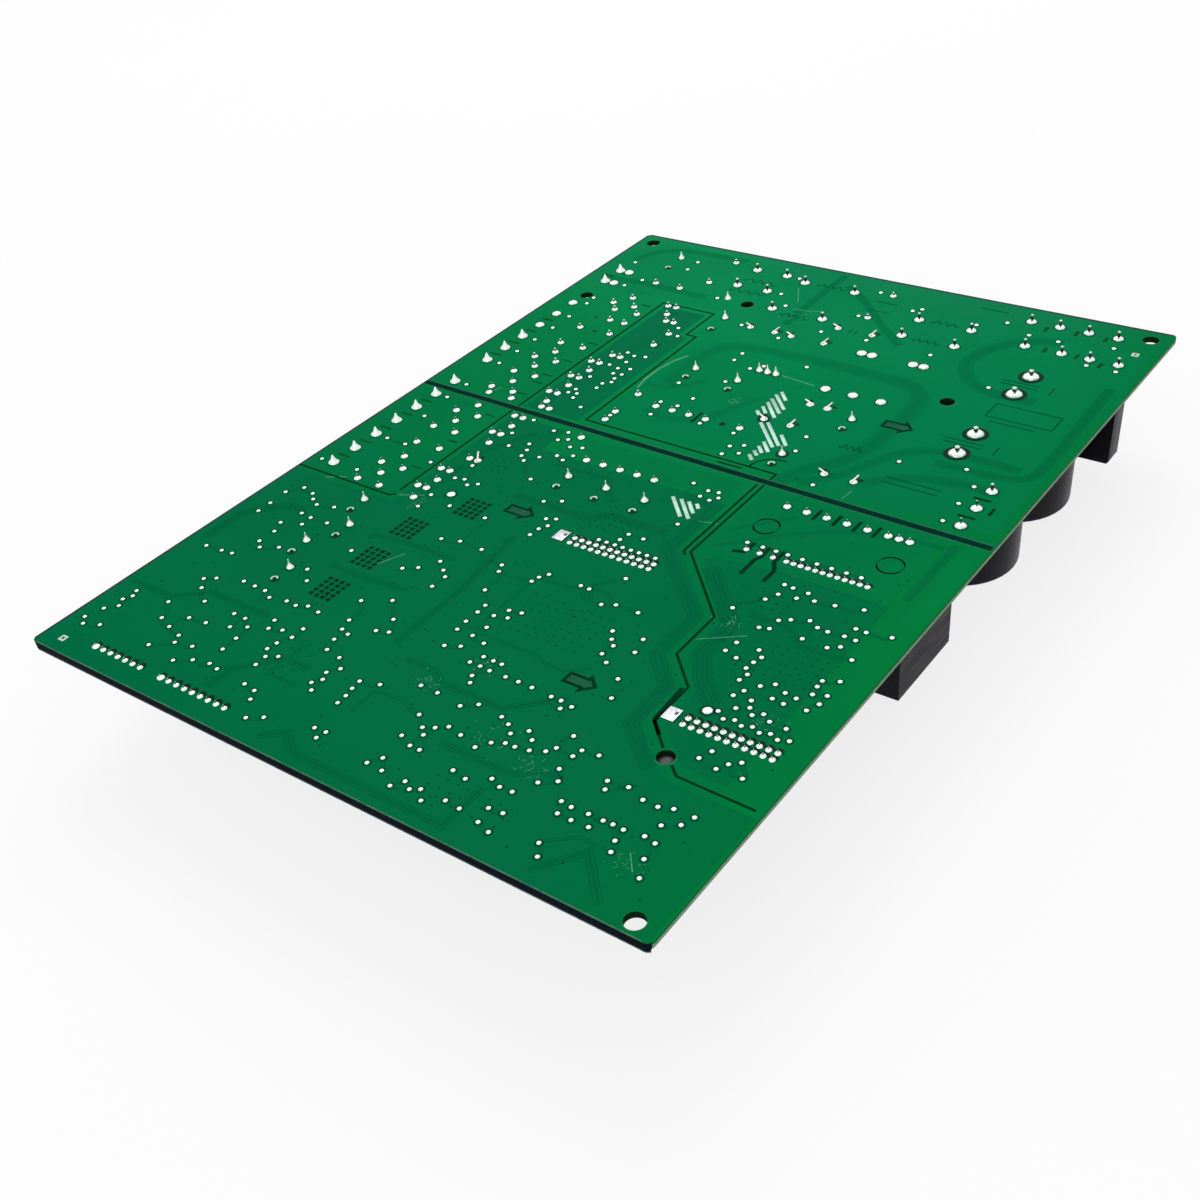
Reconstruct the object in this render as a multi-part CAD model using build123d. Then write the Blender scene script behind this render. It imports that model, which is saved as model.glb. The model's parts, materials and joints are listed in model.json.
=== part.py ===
from build123d import *
from math import atan2, degrees
import os

# Refrigerator control board, lying solder side up on its tallest components.
# Frame: X along the long edge, Y along the short edge, +Z out of the solder side.
# The origin is the middle of the board in X and Y, at the level that the components stand on.
# Components are drawn hanging from height 0, the board's underside, and then moved into place.
# Sizes are in millimetres.

# ------------------------------------------------------------------ board
board_length = 240.0
board_width = 168.0
board_thickness = 1.6
board_corner_radius = 1.6
grid_columns = 240  # placement grid along X, counted from the corner with the single hole
grid_rows = 168  # placement grid along Y
column_step = board_length / grid_columns
row_step = board_width / grid_rows
mount_hole_radius = 2.1
mount_hole_inset = 5.2  # from both edges, for the pair on the +X edge
corner_hole_inset = 3.2  # from the -X edge, for the single hole
tooling_hole_radius = 1.9

# ------------------------------------------------------------------ solder
joint_sizes = {  # name: (radius, height, sides)
    "fine": (0.85, 1.0, 4),
    "plain": (1.15, 1.3, 6),
    "spike": (1.2, 2.7, 6),
    "broad": (1.6, 2.2, 6),
    "heavy": (2.4, 2.0, 6),
}
land_sides = 4
pad_radius = 0.75
pad_height = 0.25
wide_pad_radius = 1.5
bar_width = 1.0
bar_height = 0.2
square_land_length = 3.8
square_land_width = 3.0
square_land_gap = 2.0  # from the first pins

# ------------------------------------------------------------------ electrolytic capacitors
bus_can_gap = 1.8  # between the two cans
bus_can_height = 29.6
bus_lead_pitch = 10.0
vent_width = 0.8
vent_depth = 0.4
small_can_radius = 5.0
small_can_height = 20.0
small_lead_pitch = 5.0
filter_can_radius = 8.0
filter_can_height = 25.0
filter_lead_pitch = 7.5
can_bevel = 0.8
small_can_sides = 14

# ------------------------------------------------------------------ inverter module and heatsinks
module_width = 15.0
module_length = 38.0
module_thickness = 5.4
module_standoff = 2.6
module_row_spacing = 18.5
module_lead_thickness = 0.5
module_signal_pitch = 1.8
module_signal_count = 11
module_signal_inset = 0.5  # from the screw to the first signal pin
module_wide_pitch = 3.4
module_wide_count = 4
module_power_pitch = 5.15
module_power_count = 6
module_phase_pitch = 2.6
module_phase_count = 2
module_screw_spacing = 31.4
module_notch_width = 3.4
heatsink_height = 24.0  # underside of the board to the heatsinks' far faces
module_sink_width = 24.4
module_sink_length = 49.6
module_sink_base = 4.0
module_sink_cheek = 7.0
module_sink_fin = 1.6
module_sink_fin_count = 7
plate_sink_thickness = 2.4
plate_sink_corner = 0.5
plate_sink_gap = 1.0
plate_choke_gap = 0.8  # to the nearest choke
plate_foot_width = 3.0
comb_sink_length = 24.0
comb_sink_depth = 10.0
comb_sink_base = 2.0
comb_sink_fin = 1.2
comb_sink_fin_count = 7
comb_foot_width = 2.4

# ------------------------------------------------------------------ power semiconductors
bridge_length = 30.0
bridge_height = 20.0
bridge_thickness = 3.8
bridge_standoff = 3.4
bridge_bevel = 3.0
bridge_lead_offsets = (-12.5, -5.0, 2.5, 12.5)
bridge_lead_width = 1.1
transistor_width = 10.0
transistor_body_height = 9.4
transistor_tab_height = 15.8
transistor_body_thickness = 3.1
transistor_tab_thickness = 1.3
transistor_standoff = 4.0
transistor_lead_pitch = 2.54
transistor_lead_width = 0.8
screw_hole_radius = 1.7

# ------------------------------------------------------------------ transformer
transformer_height = 29.6
transformer_row_spacing = 30.0
transformer_pin_pitch = 5.1
transformer_pin_count = 5
core_disc_gap = 0.3  # to the class Y capacitors
core_depth = 11.0
core_leg = 4.6
core_middle_leg = 9.2
core_gap = 0.8  # board to the near yoke
bobbin_clearance = 0.2
bobbin_wall = 1.0
bobbin_flange = 1.2
bobbin_length = 26.0
bobbin_rail_width = 4.4
bobbin_rail_overhang = 4.0  # of the rails on the -Y side, for the offset pin
winding_margin = 0.6  # inside the bobbin's flanges
winding_bevel = 2.4

# ------------------------------------------------------------------ line filter chokes
choke_base_height = 2.0
choke_base_margin = 2.0  # past the pins
choke_flange = 1.0
choke_winding_clearance = 0.4
choke_winding_bevel = 1.0

# ------------------------------------------------------------------ relays
relay_gap = 0.5  # to a solid-state relay beside it
relay_length = 22.4
relay_height = 15.3
relay_bevel = 0.5
relay_base_height = 1.0
relay_base_inset = 0.25
solid_relay_thickness = 5.0
solid_relay_length = 24.5
solid_relay_height = 19.0
solid_relay_lead_offset = 1.3  # leads to the near face
solid_relay_lead_offsets = (10.5, 2.7, -7.6, -10.2)
power_relay_gap = 0.1  # to the solid-state relay beside it
power_relay_length = 29.0
power_relay_height = 25.4

# ------------------------------------------------------------------ film and disc components
film_length = 18.0
film_width = 8.4
film_height = 14.6
film_lead_pitch = 15.0
disc_stand = 1.6
disc_coat_width = 1.5
disc_sides = 14
disc_taper = 35  # degrees, from the rim to each face
class_y_disc = (5.8, 3.6, 10.2)  # radius, thickness, lead pitch
snubber_disc = (4.8, 3.6, 7.8)
varistor_disc = (6.8, 4.4, 7.4)
thermistor_disc = (6.0, 4.6, 8.6)
fuse_length = 20.0
fuse_radius = 2.6
fuse_cap_length = 5.0
fuse_axis_height = 4.4
clip_length = 4.6
clip_sheet = 0.5
clip_height = 7.6
clip_clearance = 0.05
resistor_radius = 1.7
resistor_sides = 10
resistor_length = 6.2
resistor_lead_width = 0.7

# ------------------------------------------------------------------ connectors
power_pitch = 7.92
power_end = 6.0
power_depth = 8.4
power_base_height = 3.0
power_wall = 1.4
power_wall_height = 11.0
power_window_width = 3.6
power_window_height = 3.0
power_post_width = 1.14
power_post_length = 6.6
power_post_row = -0.4  # posts to the middle of the header's depth
heater_row_pitch = 3.2  # between the two solder tails of each post
wafer_pitch = 2.5
wafer_gap = 2.0  # between the two connectors
wafer_depth = 4.2
wafer_height = 6.0
wafer_wall = 0.6
wafer_floor = 1.4
wafer_pin_width = 0.64
wafer_slot_width = 1.6
box_pitch = 2.0
box_end = 3.2
box_depth = 5.2
box_height = 4.4
box_wall = 0.6
box_floor = 1.2
box_pin_width = 0.5
box_key_width = 3.0
pin_recess = 0.8

# ------------------------------------------------------------------ chips
chip_bevel = 0.35
controller_width = 14.0
drive_controller_width = 10.0
driver_length = 10.4
driver_width = 7.4
small_chip_length = 8.6
small_chip_width = 4.0
chip_height = 1.5
coupler_length = 6.4
coupler_width = 4.6
coupler_height = 3.4
passive_length = 2.0
passive_width = 1.25
passive_height = 0.6

# ------------------------------------------------------------------ places on the board
# (column, row) on the placement grid.
bus_can_spots = ((166.8, 24.2), (198.6, 24.2))
small_can_spots = (
    (46.4, 135.4), (56.4, 140.1), (66.4, 135.5), (76.4, 140.2), (108.1, 101.4), (107.9, 89.9),
    (107.8, 78.6), (168.0, 104.1), (167.1, 90.3), (140.5, 60.8), (162.4, 53.9),
)
filter_can_spot = (195.8, 113.4)
module_spot = (114.2, 32.0)
bridge_spot = (218.4, 19.9)
transistor_spot = (176.9, 85.6)
transformer_spot = (133.8, 91.9)
relay_columns = (87.8, 96.6, 116.6, 125.8, 140.5, 150.1, 159.4, 196.8)
relay_row = 139.4
relay_pins = ((-2.35, 9.5), (-2.35, 2.1), (2.35, 5.9), (2.35, -6.7), (-2.35, -9.5), (2.35, -9.5))
power_relay_pins = ((-3.6, 12.9), (-3.6, 2.5), (3.7, 7.6), (3.7, 2.6), (-3.8, -12.9), (3.6, -12.9))
solid_relay_spots = ((106.0, 136.9), (135.2, 136.9), (167.0, 136.9), (190.8, 135.3))
power_relay_spot = (180.8, 135.3)
film_spots = ((224.9, 130.5), (223.6, 77.3))
class_y_spots = ((132.2, 110.0), (146.9, 110.0))
snubber_disc_spot = (139.6, 43.4)
varistor_spot = (224.9, 147.9)
thermistor_spot = (210.6, 140.7)
fuse_spot = (196.9, 59.6)
resistor_places = ((197.6, 99.9, 7.8), (197.5, 85.6, 10.2), (207.1, 76.3, 10.4), (155.5, 69.8, 7.6))
load_header_row = 160.0
load_header_a = (112.0, 7)
load_header_b = (169.4, 6)
heater_header_column = 209.4
compressor_header_spot = (142.3, 10.0)
reactor_header_spot = (175.7, 59.6)
supply_header_spot = (232.0, 24.6)
wafer_column = 6.3
wafer_a = (144.7, 7)
wafer_b = (120.3, 9)
box_header_a = (89.3, 72.7, 12)
box_header_b = (49.9, 16.1, 11)
controller_spot = (64.0, 67.0)
drive_controller_spot = (75.0, 19.0)
driver_spots = ((47.3, 121.0), (61.0, 121.2), (74.7, 121.5), (88.3, 113.5))
small_chip_spots = ((23.2, 94.8), (27.0, 34.0), (44.4, 66.0), (58.0, 41.0), (100.0, 60.0), (16.0, 62.0))
coupler_spots = ((166.0, 64.2), (150.0, 118.0), (160.0, 118.0))
tooling_hole_spots = ((195.3, 159.5), (209.6, 112.4), (183.2, 37.2), (39.2, 23.7))

# Chokes: column, row, turn, core length, core height, core depth, core bar, pins across, pins along.
chokes = {
    "line_choke_1": (224.9, 116.7, 0, 19.0, 19.0, 5.5, 4.0, 11.2, 10.2),
    "line_choke_2": (219.4, 96.3, 0, 27.6, 27.6, 7.0, 5.6, 18.4, 16.2),
    "line_choke_3": (215.6, 56.3, 90, 22.0, 21.0, 6.0, 4.6, 15.4, 10.2),
}

# Rows of small parts on the component side: first column, row, count, step across, step along.
passive_rows = (
    (20.0, 108.0, 4, 4.0, 0.0), (14.0, 78.0, 4, 4.4, 0.0), (30.0, 62.0, 3, 0.0, 4.2),
    (56.0, 55.0, 5, 4.2, 0.0), (56.0, 79.5, 5, 4.2, 0.0), (14.0, 44.0, 4, 4.4, 0.0),
    (68.5, 10.0, 4, 3.6, 0.0), (68.5, 28.0, 4, 3.6, 0.0), (139.0, 121.5, 5, 4.0, 0.0),
)

# Test lands and vias that carry solder, block by block.
lands_sensor_corner = (
    (11.8, 163.9), (9.9, 162.1), (16.1, 162.5), (11.5, 158.1), (18.5, 160.1), (20.7, 161.4), (22.7, 160.3),
    (24.5, 161.1), (20.4, 147.3), (25.3, 150.8), (19.0, 143.1), (23.5, 141.6), (12.2, 142.0), (17.9, 138.6),
    (15.7, 137.4), (24.1, 136.7), (16.7, 132.7), (11.2, 132.7), (25.8, 130.6), (13.5, 128.9), (29.7, 133.5),
    (29.7, 129.9), (29.6, 143.3), (32.9, 148.1), (35.7, 150.5), (37.3, 147.9), (39.6, 141.1), (39.5, 137.3),
    (39.4, 133.8), (38.0, 130.9), (45.5, 160.7), (45.9, 155.7), (46.3, 152.5), (53.2, 150.4), (51.3, 148.3),
    (57.9, 150.2), (53.5, 144.0), (50.3, 131.2), (46.9, 127.9), (39.0, 126.3), (38.8, 123.2), (40.0, 120.5),
    (39.5, 116.8), (32.5, 123.4), (29.7, 122.4), (30.8, 119.1), (27.7, 127.0), (23.6, 126.2), (19.4, 125.9),
    (14.5, 124.6), (14.0, 121.7), (24.4, 117.2), (26.9, 116.8), (22.3, 115.5), (19.3, 115.3), (30.0, 115.3),
    (33.4, 115.3), (23.7, 113.0), (13.5, 112.5),
)
lands_supply = (
    (62.5, 160.7), (66.5, 160.7), (72.0, 161.0), (75.7, 158.1), (74.7, 154.1), (72.9, 152.1), (71.5, 149.4),
    (61.4, 151.7), (66.9, 150.0), (66.5, 146.5), (63.3, 146.3), (72.7, 144.6), (66.7, 141.1), (60.9, 127.3),
    (82.8, 126.1), (97.6, 123.9), (95.9, 121.6), (97.4, 119.4), (86.6, 119.2), (115.4, 124.3), (113.0, 118.2),
    (111.4, 116.2), (115.8, 118.7), (118.5, 120.1), (114.5, 113.7), (142.8, 124.6), (145.1, 125.1),
    (146.9, 126.8), (150.0, 122.2), (152.6, 122.2), (154.3, 120.4), (156.3, 120.9), (158.5, 122.9),
    (159.0, 120.4), (161.5, 123.5), (162.5, 120.1), (165.4, 123.5), (169.3, 123.6), (170.1, 120.4),
    (139.6, 119.7), (126.6, 118.5), (123.4, 114.7), (127.6, 114.5), (124.7, 112.4), (139.6, 110.1),
)
lands_logic = (
    (13.0, 109.0), (10.6, 107.6), (6.0, 104.0), (8.0, 100.8), (47.4, 111.2), (40.8, 108.5), (37.6, 107.5),
    (36.9, 105.1), (34.1, 106.5), (30.7, 105.3), (50.9, 104.9), (59.3, 100.6), (30.0, 100.9), (40.9, 100.5),
    (45.8, 99.9), (41.9, 97.6), (21.0, 100.2), (25.0, 99.8), (22.9, 98.8), (19.2, 98.4), (27.4, 98.0),
    (19.0, 90.6), (21.5, 90.7), (23.9, 91.2), (26.4, 91.5), (11.0, 89.2), (9.0, 86.7), (11.2, 86.2),
    (27.7, 86.9), (31.8, 79.2), (31.7, 74.6), (24.7, 73.3), (18.2, 72.1), (8.8, 72.6), (11.4, 70.8),
    (8.6, 68.5), (16.8, 68.6), (16.8, 66.1), (20.5, 68.4), (22.1, 70.1), (23.3, 67.8), (24.9, 65.6),
    (24.2, 61.9), (22.9, 57.1), (30.9, 67.8), (33.1, 64.8), (32.5, 58.3), (6.3, 64.2), (8.7, 62.5),
    (7.5, 60.3), (8.6, 58.4), (6.3, 56.3), (15.7, 56.5), (37.5, 70.8), (39.5, 72.0), (42.7, 75.3),
    (42.7, 72.5), (45.5, 73.9), (45.4, 71.2), (42.5, 69.8), (45.4, 68.9), (42.6, 65.6), (42.7, 62.3),
    (42.6, 58.7), (49.0, 76.8), (45.8, 80.5), (44.3, 83.8), (50.0, 85.1), (49.9, 80.7), (53.1, 85.3),
    (56.9, 85.2), (59.6, 85.3), (53.6, 79.9), (57.6, 81.2), (58.4, 78.0),
)
lands_controller = (
    (61.3, 111.5), (63.3, 108.4), (67.6, 105.5), (65.3, 102.5), (63.5, 100.4), (74.8, 111.5), (76.1, 106.8),
    (75.9, 100.1), (86.5, 108.0), (64.0, 89.1), (71.0, 90.9), (73.3, 91.9), (60.7, 79.5), (61.3, 76.4),
    (71.6, 81.9), (73.6, 81.4), (75.5, 80.1), (75.5, 71.2), (75.4, 68.8), (72.1, 63.1), (73.5, 60.2),
    (82.4, 64.0), (86.0, 93.9), (88.9, 93.6), (90.9, 92.5), (93.1, 94.7), (94.1, 92.5), (94.2, 74.1),
    (96.9, 73.6), (96.9, 69.5), (98.8, 99.9), (100.9, 96.0), (105.3, 109.1), (117.1, 110.1), (116.1, 107.5),
    (118.9, 106.4), (122.0, 109.7), (123.0, 106.6), (105.6, 66.0), (117.9, 68.0), (117.4, 65.1),
    (119.2, 63.7), (122.0, 72.5), (120.8, 67.6), (121.2, 64.9),
)
lands_near_corner = (
    (25.5, 55.2), (26.8, 52.7), (26.9, 50.4), (29.5, 53.6), (31.4, 55.7), (31.9, 50.9), (30.1, 48.7),
    (27.5, 47.3), (28.9, 44.4), (30.7, 43.2), (35.1, 42.4), (26.3, 39.1), (23.5, 37.2), (21.3, 40.3),
    (30.4, 39.0), (32.6, 38.5), (33.1, 34.8), (8.7, 52.3), (8.4, 48.6), (7.5, 43.3), (6.5, 40.0),
    (11.3, 44.0), (11.6, 40.8), (15.1, 52.9), (17.7, 48.5), (16.7, 45.8), (16.9, 42.9), (9.1, 30.4),
    (6.3, 28.5), (16.7, 32.1), (19.6, 33.4), (19.3, 30.9), (16.6, 28.9), (19.5, 27.1), (16.8, 25.1),
    (19.5, 23.8), (19.6, 21.7), (19.5, 19.3), (16.5, 19.0), (13.9, 18.0), (26.2, 28.3), (28.3, 29.3),
    (28.9, 24.9), (27.5, 20.7), (27.4, 17.3), (28.4, 14.5), (23.8, 14.1), (20.1, 15.1), (19.6, 12.5),
    (15.5, 12.0), (11.4, 10.1), (25.7, 11.1), (28.5, 10.1), (42.3, 53.5), (42.3, 51.0), (40.3, 49.7),
    (41.8, 48.0), (47.9, 42.7), (53.4, 45.1), (56.5, 50.3), (58.4, 52.8), (42.0, 18.1), (44.8, 17.0),
    (41.1, 13.7), (43.3, 12.4), (44.9, 10.5), (41.3, 8.1),
)
lands_drive_control = (
    (55.1, 22.3), (57.5, 19.8), (58.9, 17.5), (57.3, 16.0), (58.6, 14.2), (57.3, 12.1), (57.1, 8.3),
    (61.7, 52.3), (63.3, 53.9), (65.7, 55.4), (73.5, 54.4), (66.5, 48.1), (62.1, 47.1), (71.7, 31.3),
    (75.0, 30.7), (70.7, 28.1), (75.1, 25.4), (73.3, 23.7), (71.2, 24.3), (68.9, 24.6), (67.3, 23.3),
    (65.1, 23.8), (62.7, 21.2), (60.5, 22.3), (65.5, 19.2), (60.9, 18.4), (67.4, 16.9), (63.4, 15.2),
    (66.1, 13.9), (63.1, 12.5), (65.7, 11.2), (68.3, 9.1), (70.8, 9.5), (72.8, 9.5), (63.6, 7.7),
    (66.4, 6.5), (69.3, 6.4), (74.3, 6.4), (84.6, 37.8), (90.5, 33.4), (93.3, 31.9), (96.9, 32.5),
    (96.7, 30.3), (93.9, 27.8), (96.6, 26.5), (94.8, 24.0), (95.5, 19.5), (97.0, 13.5), (81.5, 29.4),
    (82.2, 27.3), (85.5, 27.1), (86.9, 25.0), (88.5, 21.4), (82.5, 19.7), (87.2, 18.9), (87.0, 16.4),
    (82.4, 13.9), (83.9, 11.7), (87.3, 12.7), (87.2, 10.1), (90.6, 11.9), (90.5, 9.5), (81.3, 7.7),
    (91.5, 4.2),
)
lands_mains = (
    (151.3, 102.3), (151.4, 97.1), (146.4, 86.9), (146.1, 76.7), (144.7, 100.9), (161.9, 103.8),
    (167.8, 93.0), (145.6, 58.6), (156.2, 19.0), (194.0, 31.2), (176.8, 91.0), (179.4, 88.3),
    (134.2, 47.2), (152.4, 34.4), (136.4, 73.9), (140.4, 74.1), (142.2, 71.1), (138.5, 70.3),
    (152.6, 59.7), (219.4, 107.0), (230.5, 107.4), (213.3, 101.9), (216.1, 80.1), (231.7, 81.5),
    (197.7, 106.8), (195.2, 93.4), (203.4, 84.7), (204.0, 71.1), (179.1, 97.4), (183.2, 97.4),
    (183.9, 77.8), (156.4, 95.6), (203.6, 52.0), (225.0, 68.1), (226.8, 66.1), (224.4, 48.8),
    (228.9, 42.0), (224.5, 33.9), (224.2, 25.7), (215.0, 14.4), (226.5, 11.7), (214.9, 6.7),
    (188.6, 122.0), (184.3, 119.4), (222.5, 141.6), (228.1, 141.6), (210.6, 150.0), (209.5, 122.5),
    (106.8, 48.0), (106.8, 44.0), (106.8, 40.6), (106.8, 37.6), (106.8, 33.9), (106.8, 30.3), (106.8, 26.7),
    (106.8, 23.1), (106.8, 19.5),
)
lands_switched_loads = (
    (88.1, 164.2), (103.9, 155.9), (127.9, 156.1), (135.8, 156.0), (149.6, 155.7), (157.4, 155.6),
    (165.3, 155.5), (173.5, 155.4), (181.4, 155.5), (190.6, 155.9), (194.6, 156.4), (205.4, 152.9),
    (220.3, 159.5), (117.2, 154.8), (88.4, 152.0), (103.7, 149.4), (99.9, 137.2), (88.3, 126.7),
    (97.0, 126.5), (103.5, 126.4), (120.8, 127.6), (128.6, 126.7), (144.6, 127.6), (154.3, 127.6),
    (162.2, 126.8), (170.2, 126.4), (134.4, 14.3), (142.3, 14.3), (150.2, 14.3),
    (91.9, 78.4), (91.9, 76.2), (91.9, 73.9), (91.9, 71.7), (91.9, 69.4), (91.9, 67.2), (91.9, 65.0),
    (91.9, 62.7), (53.6, 20.2), (54.4, 18.1), (53.6, 16.1), (54.4, 14.1), (53.6, 12.1), (54.4, 10.1),
    (53.6, 8.1), (54.4, 6.0),
)
land_blocks = (
    lands_sensor_corner, lands_supply, lands_logic, lands_controller, lands_near_corner,
    lands_drive_control, lands_mains, lands_switched_loads,
)
wide_land_spots = ((90.8, 122.4), (54.2, 24.2))

# Tinned stripes across the current-sense tracks: start column and row, end column and row.
stripe_ends = (
    (108.4, 67.2, 114.8, 73.6), (108.5, 65.0, 114.8, 71.2), (110.9, 65.3, 114.7, 69.0),
    (113.1, 65.3, 114.8, 66.8), (137.2, 65.8, 139.2, 67.8), (139.5, 65.8, 141.3, 67.7),
    (141.0, 65.3, 143.6, 67.8), (142.1, 64.2, 145.9, 67.8), (144.5, 64.4, 153.6, 73.4),
    (145.7, 63.4, 154.4, 71.8), (146.5, 61.8, 150.6, 65.6), (156.5, 75.6, 158.4, 77.4),
    (158.0, 74.6, 160.8, 77.2), (157.0, 71.4, 163.2, 77.2), (159.4, 71.4, 165.2, 77.2),
    (161.6, 71.4, 167.6, 77.4), (165.8, 73.4, 169.4, 76.8),
)

# ------------------------------------------------------------------ levels
tallest_choke = max(core_height + choke_base_height for _, _, _, _, core_height, *_ in chokes.values())
underside = max(bus_can_height, transformer_height, tallest_choke)
board_top = underside + board_thickness

# ------------------------------------------------------------------ sizes that neighbours set
bus_can_radius = ((bus_can_spots[1][0] - bus_can_spots[0][0]) * column_step - bus_can_gap) / 2
solid_relay_near_reach = solid_relay_thickness - solid_relay_lead_offset  # leads to the body's -X face
power_relay_reach = (solid_relay_spots[3][0] - power_relay_spot[0]) * column_step
power_relay_width = 2 * (power_relay_reach - solid_relay_near_reach - power_relay_gap)
relay_reach = (relay_columns[4] - solid_relay_spots[1][0]) * column_step
relay_width = 2 * (relay_reach - solid_relay_lead_offset - relay_gap)
core_reach = (class_y_spots[0][1] - transformer_spot[1]) * row_step
core_length = 2 * (core_reach - class_y_disc[1] / 2 - core_disc_gap)
wafer_reach = (wafer_a[0] - wafer_b[0]) * row_step
wafer_end = wafer_reach - wafer_pitch * (wafer_a[1] + wafer_b[1] - 2) / 2 - wafer_gap
choke_reach = chokes["line_choke_3"][3] / 2
plate_reach = (chokes["line_choke_3"][1] - bridge_spot[1]) * row_step
plate_sink_length = plate_reach - choke_reach - plate_choke_gap + bridge_length / 2

middle_min = (Align.CENTER, Align.CENTER, Align.MIN)
middle_max = (Align.CENTER, Align.CENTER, Align.MAX)
middle = (Align.CENTER, Align.CENTER, Align.CENTER)

bridge_hole_level = -bridge_standoff - bridge_height / 2
transistor_hole_level = -transistor_standoff - transistor_tab_height + 2 * screw_hole_radius


# ------------------------------------------------------------------ helpers
def spot(column, row):
    """X and Y of a place on the placement grid, which is centred on the frame's origin."""
    return column * column_step - board_length / 2, row * row_step - board_width / 2


def hang(part, place, turn=0):
    """Puts a component drawn below height 0 under the board at a place of the grid."""
    x, y = spot(*place)
    return Pos(x, y, underside) * Rot(0, 0, turn) * part


def slab(length, width, height, x=0.0, y=0.0, top=0.0):
    """Block that reaches down from height top, centred on (x, y)."""
    return Pos(x, y, top) * Box(length, width, height, align=middle_max)


def turned(points):
    """Solid of revolution about Z from its half outline, as (radius, height) points."""
    return revolve(Plane.XZ * make_face(Polyline(*points, close=True)), Axis.Z)


def spaced(count, pitch):
    """Positions of count things at a pitch, centred on zero."""
    return [(i - (count - 1) / 2) * pitch for i in range(count)]


def save(name, *pieces):
    """Writes a node, one solid for each piece."""
    solids = [solid for piece in pieces for solid in piece.solids()]
    export_step(Compound(children=solids) if len(solids) > 1 else solids[0], f"parts/{name}.step")


# ------------------------------------------------------------------ solder side
solder_points = []  # (kind, x, y) of each soldered lead


def solder(kind, place, offsets=((0.0, 0.0),)):
    """Notes a joint of a kind at each lead of the component at a place of the grid."""
    x, y = spot(*place)
    solder_points.extend((kind, x + across, y + along) for across, along in offsets)


def solder_cone(radius, height, sides):
    """Cone of solder with a few flat sides, standing on the board."""
    return loft([RegularPolygon(radius, sides).face(), Vertex(0, 0, height)])


def solder_joints():
    """A cone of its kind at each soldered lead."""
    cones = {kind: solder_cone(*size) for kind, size in joint_sizes.items()}
    return [Pos(x, y, board_top) * cones[kind] for kind, x, y in solder_points]


def test_lands():
    """Low domes of solder on the test lands."""
    small = solder_cone(pad_radius, pad_height, land_sides)
    wide = solder_cone(wide_pad_radius, pad_height, land_sides)
    lands = [Pos(*spot(*place), board_top) * small for block in land_blocks for place in block]
    return lands + [Pos(*spot(*place), board_top) * wide for place in wide_land_spots]


def solder_stripes():
    """Raised stripes of solder, and the square land at pin 1 of each box header."""
    stripes = []
    for start_column, start_row, end_column, end_row in stripe_ends:
        start, end = Vector(*spot(start_column, start_row)), Vector(*spot(end_column, end_row))
        along = end - start
        turn = degrees(atan2(along.Y, along.X))
        bar = Box(along.length, bar_width, bar_height, align=middle_min)
        middle_point = (start + end) / 2
        stripes.append(Pos(middle_point.X, middle_point.Y, board_top) * Rot(0, 0, turn) * bar)
    land = Box(square_land_length, square_land_width, bar_height, align=middle_min)
    for column, row, count in (box_header_a, box_header_b):
        x, y = spot(column, row)
        end = (count - 1) / 2 * box_pitch
        stripes.append(Pos(x, y + end + square_land_gap + square_land_width / 2, board_top) * land)
    return stripes


def circuit_board():
    """Laminate with its mounting and tooling holes."""
    board = extrude(RectangleRounded(board_length, board_width, board_corner_radius), board_thickness)
    right = board_length / 2 - mount_hole_inset
    far = board_width / 2 - mount_hole_inset
    corner = corner_hole_inset - board_length / 2
    holes = [(mount_hole_radius, x, y) for x, y in ((right, -far), (right, far), (corner, -far))]
    holes += [(tooling_hole_radius, *spot(*place)) for place in tooling_hole_spots]
    for radius, x, y in holes:
        board -= Pos(x, y, 0) * Cylinder(radius, board_thickness, align=middle_min)
    return Pos(0, 0, underside) * board


# ------------------------------------------------------------------ capacitors
def capacitor_can(radius, height):
    """Aluminium can with a bevelled far end."""
    bevel_start = (radius, can_bevel - height)
    return turned(((0, 0), (radius, 0), bevel_start, (radius - can_bevel, -height), (0, -height)))


def bus_capacitor():
    """Snap-in can with a crossed pressure vent."""
    can = capacitor_can(bus_can_radius, bus_can_height)
    vent_length = bus_can_radius
    for length, width in ((vent_length, vent_width), (vent_width, vent_length)):
        can -= slab(length, width, vent_depth, top=vent_depth - bus_can_height)
    return can


def small_capacitor():
    """Radial can drawn with flat sides, because the board carries so many."""
    return extrude(RegularPolygon(small_can_radius, small_can_sides), -small_can_height)


def film_capacitor():
    """Box capacitor with bevelled edges on short feet."""
    return bevelled_case(film_length, film_width, film_height)


def disc_part(radius, thickness, lead_pitch):
    """Coated disc on edge across Y, with the coating run down each lead to the board."""
    half = extrude(RegularPolygon(radius, disc_sides), thickness / 2, taper=disc_taper)
    disc = Pos(0, 0, -disc_stand - radius) * Rot(90, 0, 0) * (half + Rot(180, 0, 0) * half)
    for x in (-lead_pitch / 2, lead_pitch / 2):
        disc += slab(disc_coat_width, disc_coat_width, disc_stand + radius, x=x)
    return disc


# ------------------------------------------------------------------ relays
def bevelled_case(length, width, height):
    """Moulded case with bevelled upright and far edges on a slightly smaller base."""
    case = slab(length, width, height - relay_base_height, top=-relay_base_height)
    edges = case.edges().filter_by(Axis.Z) + case.edges().group_by(Axis.Z)[0]
    case = chamfer(edges, relay_bevel)
    inset = 2 * (relay_base_inset + relay_bevel)
    return case + slab(length - inset, width - inset, relay_base_height)


def solid_state_relay():
    """Thin single-row relay, moulded off centre from its leads."""
    across = solid_relay_lead_offset - solid_relay_thickness / 2
    body = slab(solid_relay_thickness, solid_relay_length, solid_relay_height, x=across)
    return chamfer(body.edges().filter_by(Axis.Z), relay_bevel)


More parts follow.
